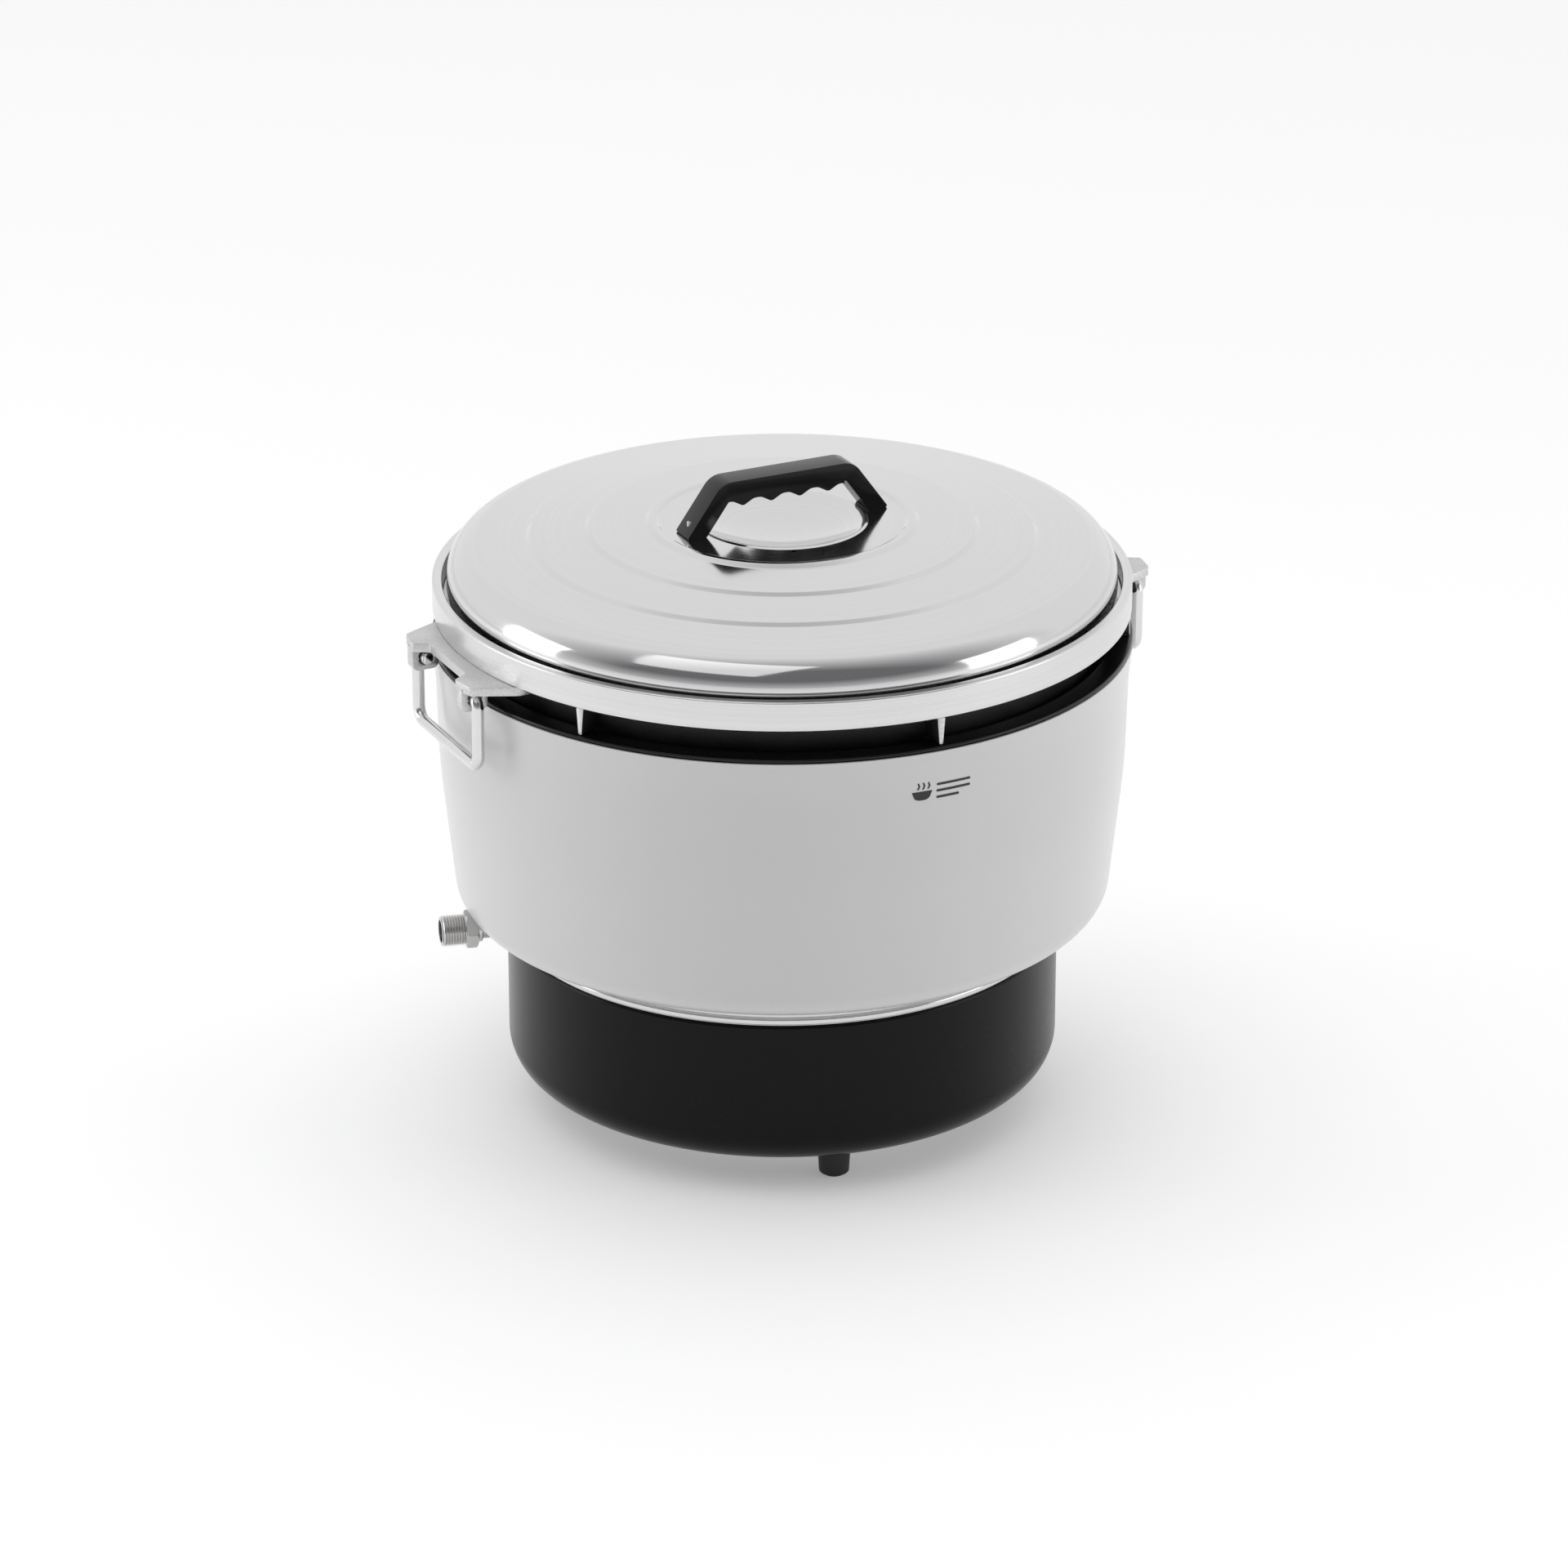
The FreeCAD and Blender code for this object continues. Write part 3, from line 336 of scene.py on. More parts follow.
def rod(name, radius, start, end, sides=48):
    start_fresh()
    along = end - start
    bpy.ops.mesh.primitive_cylinder_add(vertices=sides, radius=radius, depth=along.length,
                                        location=(start + end) / 2,
                                        rotation=along.to_track_quat("Z", "Y").to_euler())
    piece = bpy.context.object
    piece.name = name
    bpy.ops.object.transform_apply(location=True, rotation=True, scale=True)
    return piece


def block(name, low, high):
    start_fresh()
    low = Vector(low)
    high = Vector(high)
    bpy.ops.mesh.primitive_cube_add(size=1, location=(low + high) / 2)
    piece = bpy.context.object
    piece.name = name
    piece.data.name = name
    piece.scale = high - low
    bpy.ops.object.transform_apply(location=True, rotation=True, scale=True)
    return piece


def finished(piece, body, slot, materials, *nodes):
    """Sets a piece's materials and body, and hides the CAD nodes that it stands for; the slot argument is not
    used.
    """
    if not isinstance(materials, (list, tuple)):
        materials = [materials]
    piece.data.materials.clear()
    for material in materials:
        piece.data.materials.append(material)
    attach(piece, body)
    if nodes:
        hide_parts(*nodes)
    return piece


def paint_faces(piece, index, test):
    """Gives the faces that pass the test another of the piece's materials."""
    for face in piece.data.polygons:
        if test(face.center, face.normal):
            face.material_index = index


# ---- Shared effects, as node groups -----------------------------------------------------


def new_group(name, inputs, outputs):
    tree = bpy.data.node_groups.new(name, "ShaderNodeTree")
    for label, kind, value in inputs:
        socket = tree.interface.new_socket(name=label, in_out="INPUT", socket_type=kind)
        socket.default_value = value
    for label, kind in outputs:
        tree.interface.new_socket(name=label, in_out="OUTPUT", socket_type=kind)
    return tree, tree.nodes.new("NodeGroupInput"), tree.nodes.new("NodeGroupOutput")


def add(tree, kind, links=None, **settings):
    """A node, its settings, and its inputs: a socket is linked and anything else is set."""
    node = tree.nodes.new("ShaderNode" + kind)
    for key, value in settings.items():
        setattr(node, key, value)
    for key, value in (links or {}).items():
        if isinstance(value, bpy.types.NodeSocket):
            tree.links.new(value, node.inputs[key])
        else:
            node.inputs[key].default_value = value
    return node


def math_node(tree, operation, first, second=0.0):
    return add(tree, "Math", {0: first, 1: second}, operation=operation).outputs[0]


def mapped(tree, value, low, high, new_low, new_high):
    links = {"Value": value, "From Min": low, "From Max": high, "To Min": new_low, "To Max": new_high}
    return add(tree, "MapRange", links).outputs["Result"]


def make_spun_marks():
    """Fine rings left by polishing or turning about Z: a height and a mask from the radius and the height."""
    tree, into, out = new_group("spun_marks",
                                [("Pitch", "NodeSocketFloat", 900.0), ("Wobble", "NodeSocketFloat", 0.2)],
                                [("Height", "NodeSocketFloat"), ("Mask", "NodeSocketFloat")])
    coords = add(tree, "TexCoord").outputs["Object"]
    parts = add(tree, "SeparateXYZ", {"Vector": coords})
    flat = add(tree, "CombineXYZ", {"X": parts.outputs["X"], "Y": parts.outputs["Y"]})
    radius = add(tree, "VectorMath", {0: flat.outputs[0]}, operation="LENGTH").outputs["Value"]
    angle = math_node(tree, "ARCTAN2", parts.outputs["Y"], parts.outputs["X"])
    place = math_node(tree, "ADD", math_node(tree, "MULTIPLY", radius, into.outputs["Pitch"]),
                      math_node(tree, "MULTIPLY", parts.outputs["Z"], into.outputs["Pitch"]))
    wander = math_node(tree, "MULTIPLY", math_node(tree, "SINE", angle), into.outputs["Wobble"])
    along = math_node(tree, "ADD", place, wander)
    vector = add(tree, "CombineXYZ", {"X": along, "Y": math_node(tree, "MULTIPLY", angle, 0.6)})
    fine = add(tree, "TexNoise", {"Vector": vector.outputs[0], "Scale": 1.0, "Detail": 4.0,
                                  "Roughness": 0.7})
    broad = add(tree, "TexNoise", {"Vector": vector.outputs[0], "Scale": 0.13, "Detail": 2.0})
    tree.links.new(fine.outputs["Fac"], out.inputs["Height"])
    tree.links.new(broad.outputs["Fac"], out.inputs["Mask"])
    return tree


def make_grain():
    """A two-scale noise: a casting's skin, a crackle coat or a moulding's fine texture."""
    tree, into, out = new_group("surface_grain",
                                [("Scale", "NodeSocketFloat", 800.0), ("Sharpness", "NodeSocketFloat", 0.5)],
                                [("Height", "NodeSocketFloat"), ("Mask", "NodeSocketFloat")])
    coords = add(tree, "TexCoord").outputs["Object"]
    fine = add(tree, "TexNoise", {"Vector": coords, "Scale": into.outputs["Scale"], "Detail": 3.0,
                                  "Roughness": 0.6})
    cells = add(tree, "TexVoronoi", {"Vector": coords, "Scale": into.outputs["Scale"]},
                feature="SMOOTH_F1")
    mix = add(tree, "Mix", {"Factor": into.outputs["Sharpness"], 2: fine.outputs["Fac"],
                            3: cells.outputs["Distance"]}, data_type="FLOAT")
    tree.links.new(mix.outputs[0], out.inputs["Height"])
    tree.links.new(fine.outputs["Fac"], out.inputs["Mask"])
    return tree


def make_handling():
    """Wide soft patches where hands and cloths have passed, for roughness."""
    tree, into, out = new_group("handling",
                                [("Scale", "NodeSocketFloat", 9.0), ("Low", "NodeSocketFloat", 0.1),
                                 ("High", "NodeSocketFloat", 0.3)],
                                [("Roughness", "NodeSocketFloat"), ("Mask", "NodeSocketFloat")])
    coords = add(tree, "TexCoord").outputs["Object"]
    noise = add(tree, "TexNoise", {"Vector": coords, "Scale": into.outputs["Scale"], "Detail": 5.0,
                                   "Roughness": 0.62})
    spread = mapped(tree, noise.outputs["Fac"], 0.3, 0.72, into.outputs["Low"], into.outputs["High"])
    tree.links.new(spread, out.inputs["Roughness"])
    tree.links.new(noise.outputs["Fac"], out.inputs["Mask"])
    return tree


def make_edge_wear():
    """A mask that is 1 on worn convex edges, broken up by noise."""
    tree, into, out = new_group("edge_wear",
                                [("Amount", "NodeSocketFloat", 0.5), ("Scale", "NodeSocketFloat", 300.0)],
                                [("Mask", "NodeSocketFloat")])
    point = add(tree, "NewGeometry").outputs["Pointiness"]
    edge = mapped(tree, point, 0.52, 0.6, 0.0, 1.0)
    coords = add(tree, "TexCoord").outputs["Object"]
    noise = add(tree, "TexNoise", {"Vector": coords, "Scale": into.outputs["Scale"], "Detail": 4.0})
    broken = mapped(tree, noise.outputs["Fac"], 0.35, 0.6, 0.0, 1.0)
    both = math_node(tree, "MULTIPLY", edge, broken)
    tree.links.new(math_node(tree, "MULTIPLY", both, into.outputs["Amount"]), out.inputs["Mask"])
    return tree


spun_marks = make_spun_marks()
surface_grain = make_grain()
handling = make_handling()
edge_wear = make_edge_wear()


def use(tree, group, **values):
    node = tree.nodes.new("ShaderNodeGroup")
    node.node_tree = group
    for key, value in values.items():
        node.inputs[key].default_value = value
    return node


# ---- Materials --------------------------------------------------------------------------


def new_material(name, **constants):
    """A material with its Principled shader; constants such as Metallic are set on its own sockets."""
    material = bpy.data.materials.new(name)
    material.use_nodes = True
    tree = material.node_tree
    shader = tree.nodes["Principled BSDF"]
    for key, value in constants.items():
        shader.inputs[key.replace("_", " ")].default_value = value
    return material, tree, shader


def bump(tree, shader, height, strength, distance):
    node = add(tree, "Bump", {"Height": height, "Strength": strength, "Distance": distance})
    tree.links.new(node.outputs["Normal"], shader.inputs["Normal"])


def shade(tree, shader, mask, low, high):
    """Base colour between two colours by a mask."""
    mix = add(tree, "Mix", {"Factor": mask, 6: (*low, 1), 7: (*high, 1)}, data_type="RGBA")
    tree.links.new(mix.outputs[2], shader.inputs["Base Color"])


def spun_metal(name, low, high, rough_low, rough_high, pitch, strength):
    """Polished or turned metal with fine rings about Z."""
    material, tree, shader = new_material(name, Metallic=1.0)
    marks = use(tree, spun_marks, Pitch=pitch)
    touched = use(tree, handling, Scale=9.0, Low=rough_low, High=rough_high)
    lined = mapped(tree, marks.outputs["Height"], 0.3, 0.7, -0.02, 0.03)
    tree.links.new(math_node(tree, "ADD", touched.outputs["Roughness"], lined),
                   shader.inputs["Roughness"])
    shade(tree, shader, marks.outputs["Mask"], low, high)
    bump(tree, shader, marks.outputs["Height"], strength, 0.02 * mm)
    return material


def painted(name, low, high, rough_low, rough_high, grain, strength, coat=0.0, specular=0.5):
    """Sprayed paint: a faint orange peel and wide gloss changes."""
    material, tree, shader = new_material(name, Coat_Weight=coat, Coat_Roughness=0.08,
                                          Specular_IOR_Level=specular)
    peel = use(tree, surface_grain, Scale=grain, Sharpness=0.2)
    touched = use(tree, handling, Scale=6.0, Low=rough_low, High=rough_high)
    tree.links.new(touched.outputs["Roughness"], shader.inputs["Roughness"])
    shade(tree, shader, touched.outputs["Mask"], low, high)
    bump(tree, shader, peel.outputs["Height"], strength, 0.05 * mm)
    return material


def cast_metal(name, low, high, rough_low, rough_high, scale, strength, metallic=1.0):
    """A casting's skin, with brighter worn edges."""
    material, tree, shader = new_material(name, Metallic=metallic)
    skin = use(tree, surface_grain, Scale=scale, Sharpness=0.55)
    touched = use(tree, handling, Scale=40.0, Low=rough_low, High=rough_high)
    worn = use(tree, edge_wear, Amount=0.6, Scale=500.0)
    tree.links.new(touched.outputs["Roughness"], shader.inputs["Roughness"])
    tone = math_node(tree, "ADD", skin.outputs["Mask"], worn.outputs["Mask"])
    shade(tree, shader, mapped(tree, tone, 0.3, 0.9, 0.0, 1.0), low, high)
    bump(tree, shader, skin.outputs["Height"], strength, 0.15 * mm)
    return material


def plated(name, low, high, rough_low, rough_high, scale=60.0):
    """Plated or drawn metal: smooth, with a little variation."""
    material, tree, shader = new_material(name, Metallic=1.0)
    touched = use(tree, handling, Scale=scale, Low=rough_low, High=rough_high)
    fine = use(tree, surface_grain, Scale=1500.0, Sharpness=0.1)
    tree.links.new(touched.outputs["Roughness"], shader.inputs["Roughness"])
    shade(tree, shader, touched.outputs["Mask"], low, high)
    bump(tree, shader, fine.outputs["Height"], 0.05, 0.03 * mm)
    return material


def moulded(name, low, high, rough_low, rough_high, scale, strength, wear=0.3, specular=0.5):
    """Moulded plastic, phenolic or rubber, with a fine skin and paler rubbed edges."""
    material, tree, shader = new_material(name, Specular_IOR_Level=specular)
    skin = use(tree, surface_grain, Scale=scale, Sharpness=0.3)
    touched = use(tree, handling, Scale=30.0, Low=rough_low, High=rough_high)
    worn = use(tree, edge_wear, Amount=wear, Scale=400.0)
    tree.links.new(touched.outputs["Roughness"], shader.inputs["Roughness"])
    tone = math_node(tree, "ADD", math_node(tree, "MULTIPLY", skin.outputs["Mask"], 0.3),
                     worn.outputs["Mask"])
    shade(tree, shader, tone, low, high)
    bump(tree, shader, skin.outputs["Height"], strength, 0.05 * mm)
    return material


def grey(value, warmth=0.0):
    return (value * (1 + warmth), value, value * (1 - warmth))


lid_polish = spun_metal("lid_polished_steel", grey(0.62), grey(0.67), 0.07, 0.13, 2500, 0.012)
rim_turned = spun_metal("rim_turned_aluminium", grey(0.62), grey(0.74), 0.20, 0.30, 3500, 0.35)
trim_polish = spun_metal("trim_polished_steel", grey(0.62), grey(0.70), 0.08, 0.16, 2500, 0.03)
plunger_turned = spun_metal("plunger_turned_aluminium", grey(0.58), grey(0.66), 0.25, 0.38, 3000, 0.4)
shield_heat = spun_metal("shield_heat_tinted_steel", grey(0.40, 0.06), grey(0.52, 0.03), 0.25, 0.4,
                         1200, 0.3)
pot_inside = spun_metal("pot_inside_aluminium", grey(0.55), grey(0.64), 0.28, 0.4, 1500, 0.4)
shell_lacquer = painted("shell_silver_white_lacquer", grey(0.60), grey(0.63), 0.28, 0.36, 1400,
                        0.05, coat=0.25)
drum_enamel = painted("drum_black_enamel", grey(0.001), grey(0.002), 0.22, 0.30, 1100, 0.05,
                      specular=0.16)
ring_enamel = painted("ring_black_enamel", grey(0.003), grey(0.006), 0.20, 0.30, 1100, 0.08,
                      specular=0.3)
cast_lug = cast_metal("lug_cast_aluminium", grey(0.50), grey(0.72), 0.30, 0.48, 900, 0.35)
burner_iron = cast_metal("burner_cast_iron", grey(0.03), grey(0.07), 0.5, 0.75, 700, 0.6, 0.6)
pot_crackle = cast_metal("pot_black_crackle_coat", grey(0.004), grey(0.012), 0.38, 0.55, 650, 0.8, 0.0)
bail_chrome = plated("bail_chrome_wire", grey(0.66), grey(0.74), 0.06, 0.14)
nickel = plated("nipple_nickel_plate", grey(0.56, 0.01), grey(0.66, 0.01), 0.20, 0.30)
pipe_steel = plated("pipe_drawn_steel", grey(0.44), grey(0.54), 0.28, 0.42)
zinc = plated("zinc_plated_sheet", grey(0.46), grey(0.60), 0.32, 0.48, 25.0)
zinc_bright = plated("zinc_plated_screw", grey(0.56), grey(0.66), 0.20, 0.32)
brass = plated("machined_brass", (0.62, 0.44, 0.20), (0.74, 0.56, 0.28), 0.22, 0.36)
copper = plated("drawn_copper", (0.62, 0.30, 0.18), (0.76, 0.42, 0.28), 0.22, 0.38)
spring_steel = plated("spring_wire", grey(0.36), grey(0.48), 0.25, 0.36)
panel_steel = plated("panel_satin_steel", grey(0.50), grey(0.60), 0.30, 0.38, 14.0)
bakelite = moulded("handle_black_phenolic", grey(0.002), grey(0.010), 0.16, 0.26, 900, 0.03, wear=0.15,
                   specular=0.35)
black_plastic = moulded("control_black_plastic", grey(0.008), grey(0.030), 0.34, 0.46, 1800, 0.25)
red_plastic = moulded("button_red_plastic", (0.42, 0.012, 0.008), (0.55, 0.03, 0.02), 0.2, 0.3, 1500,
                      0.06)
foot_rubber = moulded("foot_black_rubber", grey(0.008), grey(0.022), 0.55, 0.7, 1200, 0.3)
lead_silicone = moulded("lead_red_silicone", (0.35, 0.02, 0.012), (0.42, 0.04, 0.02), 0.4, 0.5, 800, 0.1)
ceramic = moulded("electrode_glazed_ceramic", (0.80, 0.78, 0.72), (0.86, 0.85, 0.80), 0.12, 0.2, 700,
                  0.05)
badge_print = moulded("badge_black_print", grey(0.010), grey(0.014), 0.3, 0.38, 1500, 0.03, wear=0.0)

node_finishes = {
    "base_bottom_plate": zinc, "drip_tray": zinc, "foot_screws": zinc_bright,
    "flange_bolts": zinc_bright, "gas_inlet_pipe": pipe_steel, "burner_bracket": zinc,
    "burner_body": burner_iron, "burner_cap": burner_iron, "mixing_tube": burner_iron,
    "air_shutter": zinc, "injector": brass, "gas_valve_body": brass, "pilot_bracket": zinc,
    "pilot_burner": brass, "pilot_pipe": copper, "thermocouple": copper,
    "ignition_electrode": ceramic, "ignition_lead": lead_silicone, "piezo_igniter": black_plastic,
    "thermostat_sleeve": shield_heat, "control_housing": drum_enamel, "lever_bracket": zinc,
    "lever_pin": zinc_bright, "lid_handle_washers": zinc_bright, "lid_handle_screws": zinc_bright,
    "valve_spindle": brass, "lever_arm": zinc, "panel_screws": zinc_bright,
    "control_panel": panel_steel,
}

# ---- Base and shell ---------------------------------------------------------------------


def base_drum():
    corners = thick([(drum_radius - 54 * mm, drum_low.z), (drum_radius, drum_low.z, 24 * mm),
                     (drum_radius, drum_high.z, 2.5 * mm), (flange_radius, drum_high.z)], 1.5 * mm)
    finished(turned("drum", corners, turn_step=4), "root", "drum_enamel", drum_enamel, "base_drum")


def rubber_feet():
    height = drum_low.z
    foot = turned("foot", [(0, 0), (7 * mm, 0), (8.2 * mm, 1.2 * mm, 0.8 * mm),
                           (9.8 * mm, 1.2 * mm, 1.5 * mm), (10.7 * mm, height - 4 * mm, 0.5 * mm),
                           (11 * mm, height - 3.4 * mm), (11 * mm, height), (0, height)], 48, 20)
    settle(foot, place=(0, -(drum_radius - 37.8 * mm), 0))
    feet = joined("rubber_feet_moulded", copies_round(foot, foot_count, foot_turn))
    finished(feet, "root", "foot_rubber", foot_rubber, "rubber_feet")


def trim_ring():
    face = drum_radius - 0.3 * mm
    low, high = trim_low.z, trim_high.z
    corners = [(flange_radius, low), (face, low, 1 * mm)]
    for share in (0.2, 0.5):
        middle = low + share * (high - low)
        corners += [(face, middle - 2.3 * mm, 0.5 * mm), (face + 1.7 * mm, middle - 1.9 * mm, 1.4 * mm),
                    (face + 1.7 * mm, middle + 1.9 * mm, 1.4 * mm), (face, middle + 2.3 * mm, 0.5 * mm)]
    corners += [(face, high, 1 * mm), (flange_radius, high)]
    back = face - 1.5 * mm
    corners += [(flange_radius, high - 1.5 * mm), (back, high - 1.5 * mm),
                (back, low + 1.5 * mm), (flange_radius, low + 1.5 * mm)]
    finished(turned("trim_beads", corners, turn_step=15), "root", "polished_trim", trim_polish,
             "trim_ring")


def shell_path():
    low = shell_low.z
    tall = shell_top - low
    return [(flange_radius, low), (rim_radius - 13 * mm, low, 17.6 * mm),
            (rim_radius - 2.6 * mm, low + 0.528 * tall, 400 * mm),
            (rim_radius - 1.2 * mm, low + 0.865 * tall, 150 * mm), (shell_edge, shell_top)]


def outer_shell():
    path = shell_path()
    path[-1] = (shell_edge, shell_top - 0.8 * mm, 0.0)
    corners = thick(path, 1.2 * mm)
    finished(turned("shell_skin", corners, turn_step=1.5), "root", "shell_paint", shell_lacquer,
             "outer_shell")


def pot_support_ring():
    inner = rim_radius - 13.5 * mm
    top = seat_high.z
    outer = shell_edge - 0.6 * mm
    skirt = top - 15.2 * mm
    corners = [(inner, skirt), (inner + 2.2 * mm, skirt), (inner + 2.2 * mm, top - 2 * mm),
               (outer, top - 2 * mm, 0.3 * mm), (outer, top, 1.0 * mm), (inner, top, 1.6 * mm)]
    finished(turned("seat_ring", corners, turn_step=15), "root", "ring_enamel", ring_enamel,
             "pot_support_ring")


def heat_shield():
    radius = shield_high.x
    corners = thick([(118 * mm, shield_low.z), (radius, shield_low.z, 17.6 * mm),
                     (radius, shield_high.z)], 0.8 * mm)
    finished(turned("heat_shield_spun", corners), "root", "shield_steel", shield_heat, "heat_shield")


# ---- Pot --------------------------------------------------------------------------------


def pot_casting():
    inner = pot_radius - 4 * mm
    low = pot_low.z
    corners = [(0, low), (pot_radius - 15.5 * mm, low, 35 * mm), (pot_radius, rim_bottom, 3 * mm),
               (rim_radius - 1.3 * mm, rim_bottom, 0.4 * mm), (rim_radius, rim_bottom + 1.3 * mm, 0.5 * mm),
               (rim_radius, rim_top, 1.0 * mm), (rim_radius - 6.5 * mm, rim_top, 1.2 * mm),
               (rim_radius - 6.5 * mm, lid_seat, 1 * mm), (inner, lid_seat, 2 * mm),
               (pot_radius - 19.5 * mm, low + 5 * mm, 31 * mm), (0, low + 5 * mm)]
    pot = turned("pot_casting", corners, turn_step=5)
    finished(pot, "pot", "cast_aluminium", [rim_turned, pot_crackle, pot_inside], "inner_pot",
             "pot_rim")

    def outside(centre, normal):
        across = math.hypot(centre.x, centre.y)
        outward = normal.x * centre.x + normal.y * centre.y
        facing_out = outward > 0 or normal.z < -0.4
        return centre.z < rim_bottom + 0.2 * mm and facing_out and across < rim_radius - 2 * mm

    def inside(centre, normal):
        across = math.hypot(centre.x, centre.y)
        return centre.z < lid_seat - 1 * mm and across < inner + 0.2 * mm

    paint_faces(pot, 2, inside)
    paint_faces(pot, 1, outside)


def gussets():
    """Six tapered ribs under the rim, their outer faces machined bright."""
    top = rim_bottom + 0.6 * mm
    foot = seat_high.z + 0.3 * mm
    back = pot_radius - 2.4 * mm
    front = rim_radius - 1.0 * mm
    across = rounded([(-2.75 * mm, top), (-1.25 * mm, foot, 0.8 * mm), (1.25 * mm, foot, 0.8 * mm),
                      (2.75 * mm, top)], True, 15)
    rib = slab("gusset", [Vector((p.x, -back, p.y)) for p in across], Vector((0, back - front, 0)))
    bevelled(rib, lambda edge, middle: crease(edge, 60) and middle.y < -front + 0.1 * mm, 0.5 * mm, 2)
    smooth(rib)
    ribs = joined("rim_gussets_cast", copies_round(rib, gusset_count))
    finished(ribs, "pot", "cast_aluminium", [pot_crackle, cast_lug], "pot_gussets")
    paint_faces(ribs, 1, lambda centre, normal: math.hypot(centre.x, centre.y) > front - 2 * mm)


def lug():
    """A cast lug on +X: a plate with two ears and a bored block under each."""
    tip = rim_radius + 19.7 * mm
    root = pot_radius - 2.2 * mm
    start = math.asin(lug_plate_half / root)
    plan = [(tip - 10.5 * mm, 28.5 * mm, 3 * mm), (tip, 34.4 * mm, 3 * mm),
            (tip - 3.2 * mm, 51.6 * mm, 4 * mm), (rim_radius - 11.5 * mm, lug_plate_half)]
    inner = [(root * math.cos(start - i * start / 10), root * math.sin(start - i * start / 10))
             for i in range(21)]
    corners = plan + inner + [(x, -y, *r) for x, y, *r in reversed(plan)]
    flat = rounded(corners, True, 12)
    plate = slab("lug_plate", [Vector((p.x, p.y, lug_bottom)) for p in flat],
                 Vector((0, 0, lug_top - lug_bottom)))
    near = shell_edge - 0.6 * mm
    far = near + 18 * mm
    middle = (near + far) / 2
    for side in (-1, 1):
        y0, y1 = sorted((side * 35 * mm, side * 43.5 * mm))
        shape = rounded([(near, lug_bottom + 2 * mm), (near, lug_bottom - 13.8 * mm, 4 * mm),
                         (far, lug_bottom - 13.8 * mm, 4 * mm), (far, lug_bottom + 2 * mm)], True, 15)
        boss = slab("lug_block", [Vector((p.x, y0, p.y)) for p in shape], Vector((0, y1 - y0, 0)))
        combined(plate, boss, "UNION")
    for side in (-1, 1):
        drill = rod("drill", 5.2 * mm, Vector((middle, side * 30 * mm, bail_pivot)),
                    Vector((middle, side * 46 * mm, bail_pivot)))
        combined(plate, drill, "DIFFERENCE")
    apply_modifier(plate, "BEVEL", width=0.9 * mm, segments=3, limit_method="ANGLE",
                   angle_limit=math.radians(40), use_clamp_overlap=True)
    return smooth(cleaned(plate), 40)


def lugs():
    right = lug()
    left = right.copy()
    left.data = right.data.copy()
    bpy.context.scene.collection.objects.link(left)
    settle(left, turn=Matrix.Rotation(math.pi, 3, "Z"))
    both = joined("side_lugs_cast", [right, left])
    finished(both, "pot", "cast_aluminium", cast_lug, "pot_lugs")


def bails():
    centre_x = (bail_low.x + bail_high.x) / 2
    wire = (bail_high.x - bail_low.x) / 2
    half = 48 * mm
    end = 31.5 * mm
    low = bail_low.z + wire
    for side, body in ((1, "bail_right"), (-1, "bail_left")):
        x = side * centre_x
        bends_at = [(-end, bail_pivot), (-half, bail_pivot), (-half, low), (half, low),
                    (half, bail_pivot), (end, bail_pivot)]
        points = [Vector((x, y, z)) for y, z in bends_at]
        bends = [0, 6 * mm, 9 * mm, 9 * mm, 6 * mm, 0]
        bail = bent_bar(body + "_wire", wire, points, bends)
        finished(bail, body, "bail_chrome", bail_chrome, body)


# ---- Lid --------------------------------------------------------------------------------


def lid_path():
    """The lid's outer face from its curled edge to its crown, as (radius, height, fillet)."""
    top = rim_top + 21.5 * mm
    bottom = lid_seat + 0.3 * mm

    def slope(radius, steps):
        return top + (lid_radius - radius) * 0.092 + steps * 2 * mm

    path = [(lid_radius - 6 * mm, bottom), (lid_radius, bottom, 2 * mm), (lid_radius, top, 21.5 * mm)]
    for steps, radius in enumerate((164.7 * mm, 126.5 * mm)):
        path.append((radius + 1.5 * mm, slope(radius + 1.5 * mm, steps), 1.6 * mm))
        path.append((radius - 1.5 * mm, slope(radius - 1.5 * mm, steps + 1), 1.6 * mm))
    ring = 84 * mm
    dish = 52 * mm
    deep = 12 * mm
    angle = 2 * math.atan(deep / dish)
    corner = dish - deep / math.tan(angle)
    path += [(ring + 5 * mm, plate_top - 0.6 * mm, 1.5 * mm), (ring + 2 * mm, plate_top + 1.6 * mm, 1.2 * mm),
             (ring - 2 * mm, plate_top + 1.6 * mm, 1.2 * mm), (ring - 4.5 * mm, plate_top, 1.2 * mm),
             (dish + 4 * mm, plate_top, 1 * mm), (dish + 2 * mm, plate_top + 0.7 * mm, 1 * mm),
             (dish, plate_top, 1 * mm),
             (corner, plate_top - deep, 0.97 * (dish ** 2 + deep ** 2) / (2 * deep)),
             (0, plate_top - deep)]
    return path


def lid_shell():
    lid = turned("lid_polished", thick(lid_path(), 1 * mm), steps=216, turn_step=3)
    spot = Vector((steam_hole_circle * math.sin(steam_hole_turn),
                   -steam_hole_circle * math.cos(steam_hole_turn), plate_top))
    reach = Vector((0, 0, 5 * mm))
    combined(lid, rod("steam_drill", 1.5 * mm, spot - reach, spot + reach, 24), "DIFFERENCE")
    smooth(lid)
    finished(lid, "lid", "lid_steel", lid_polish, "lid_shell")


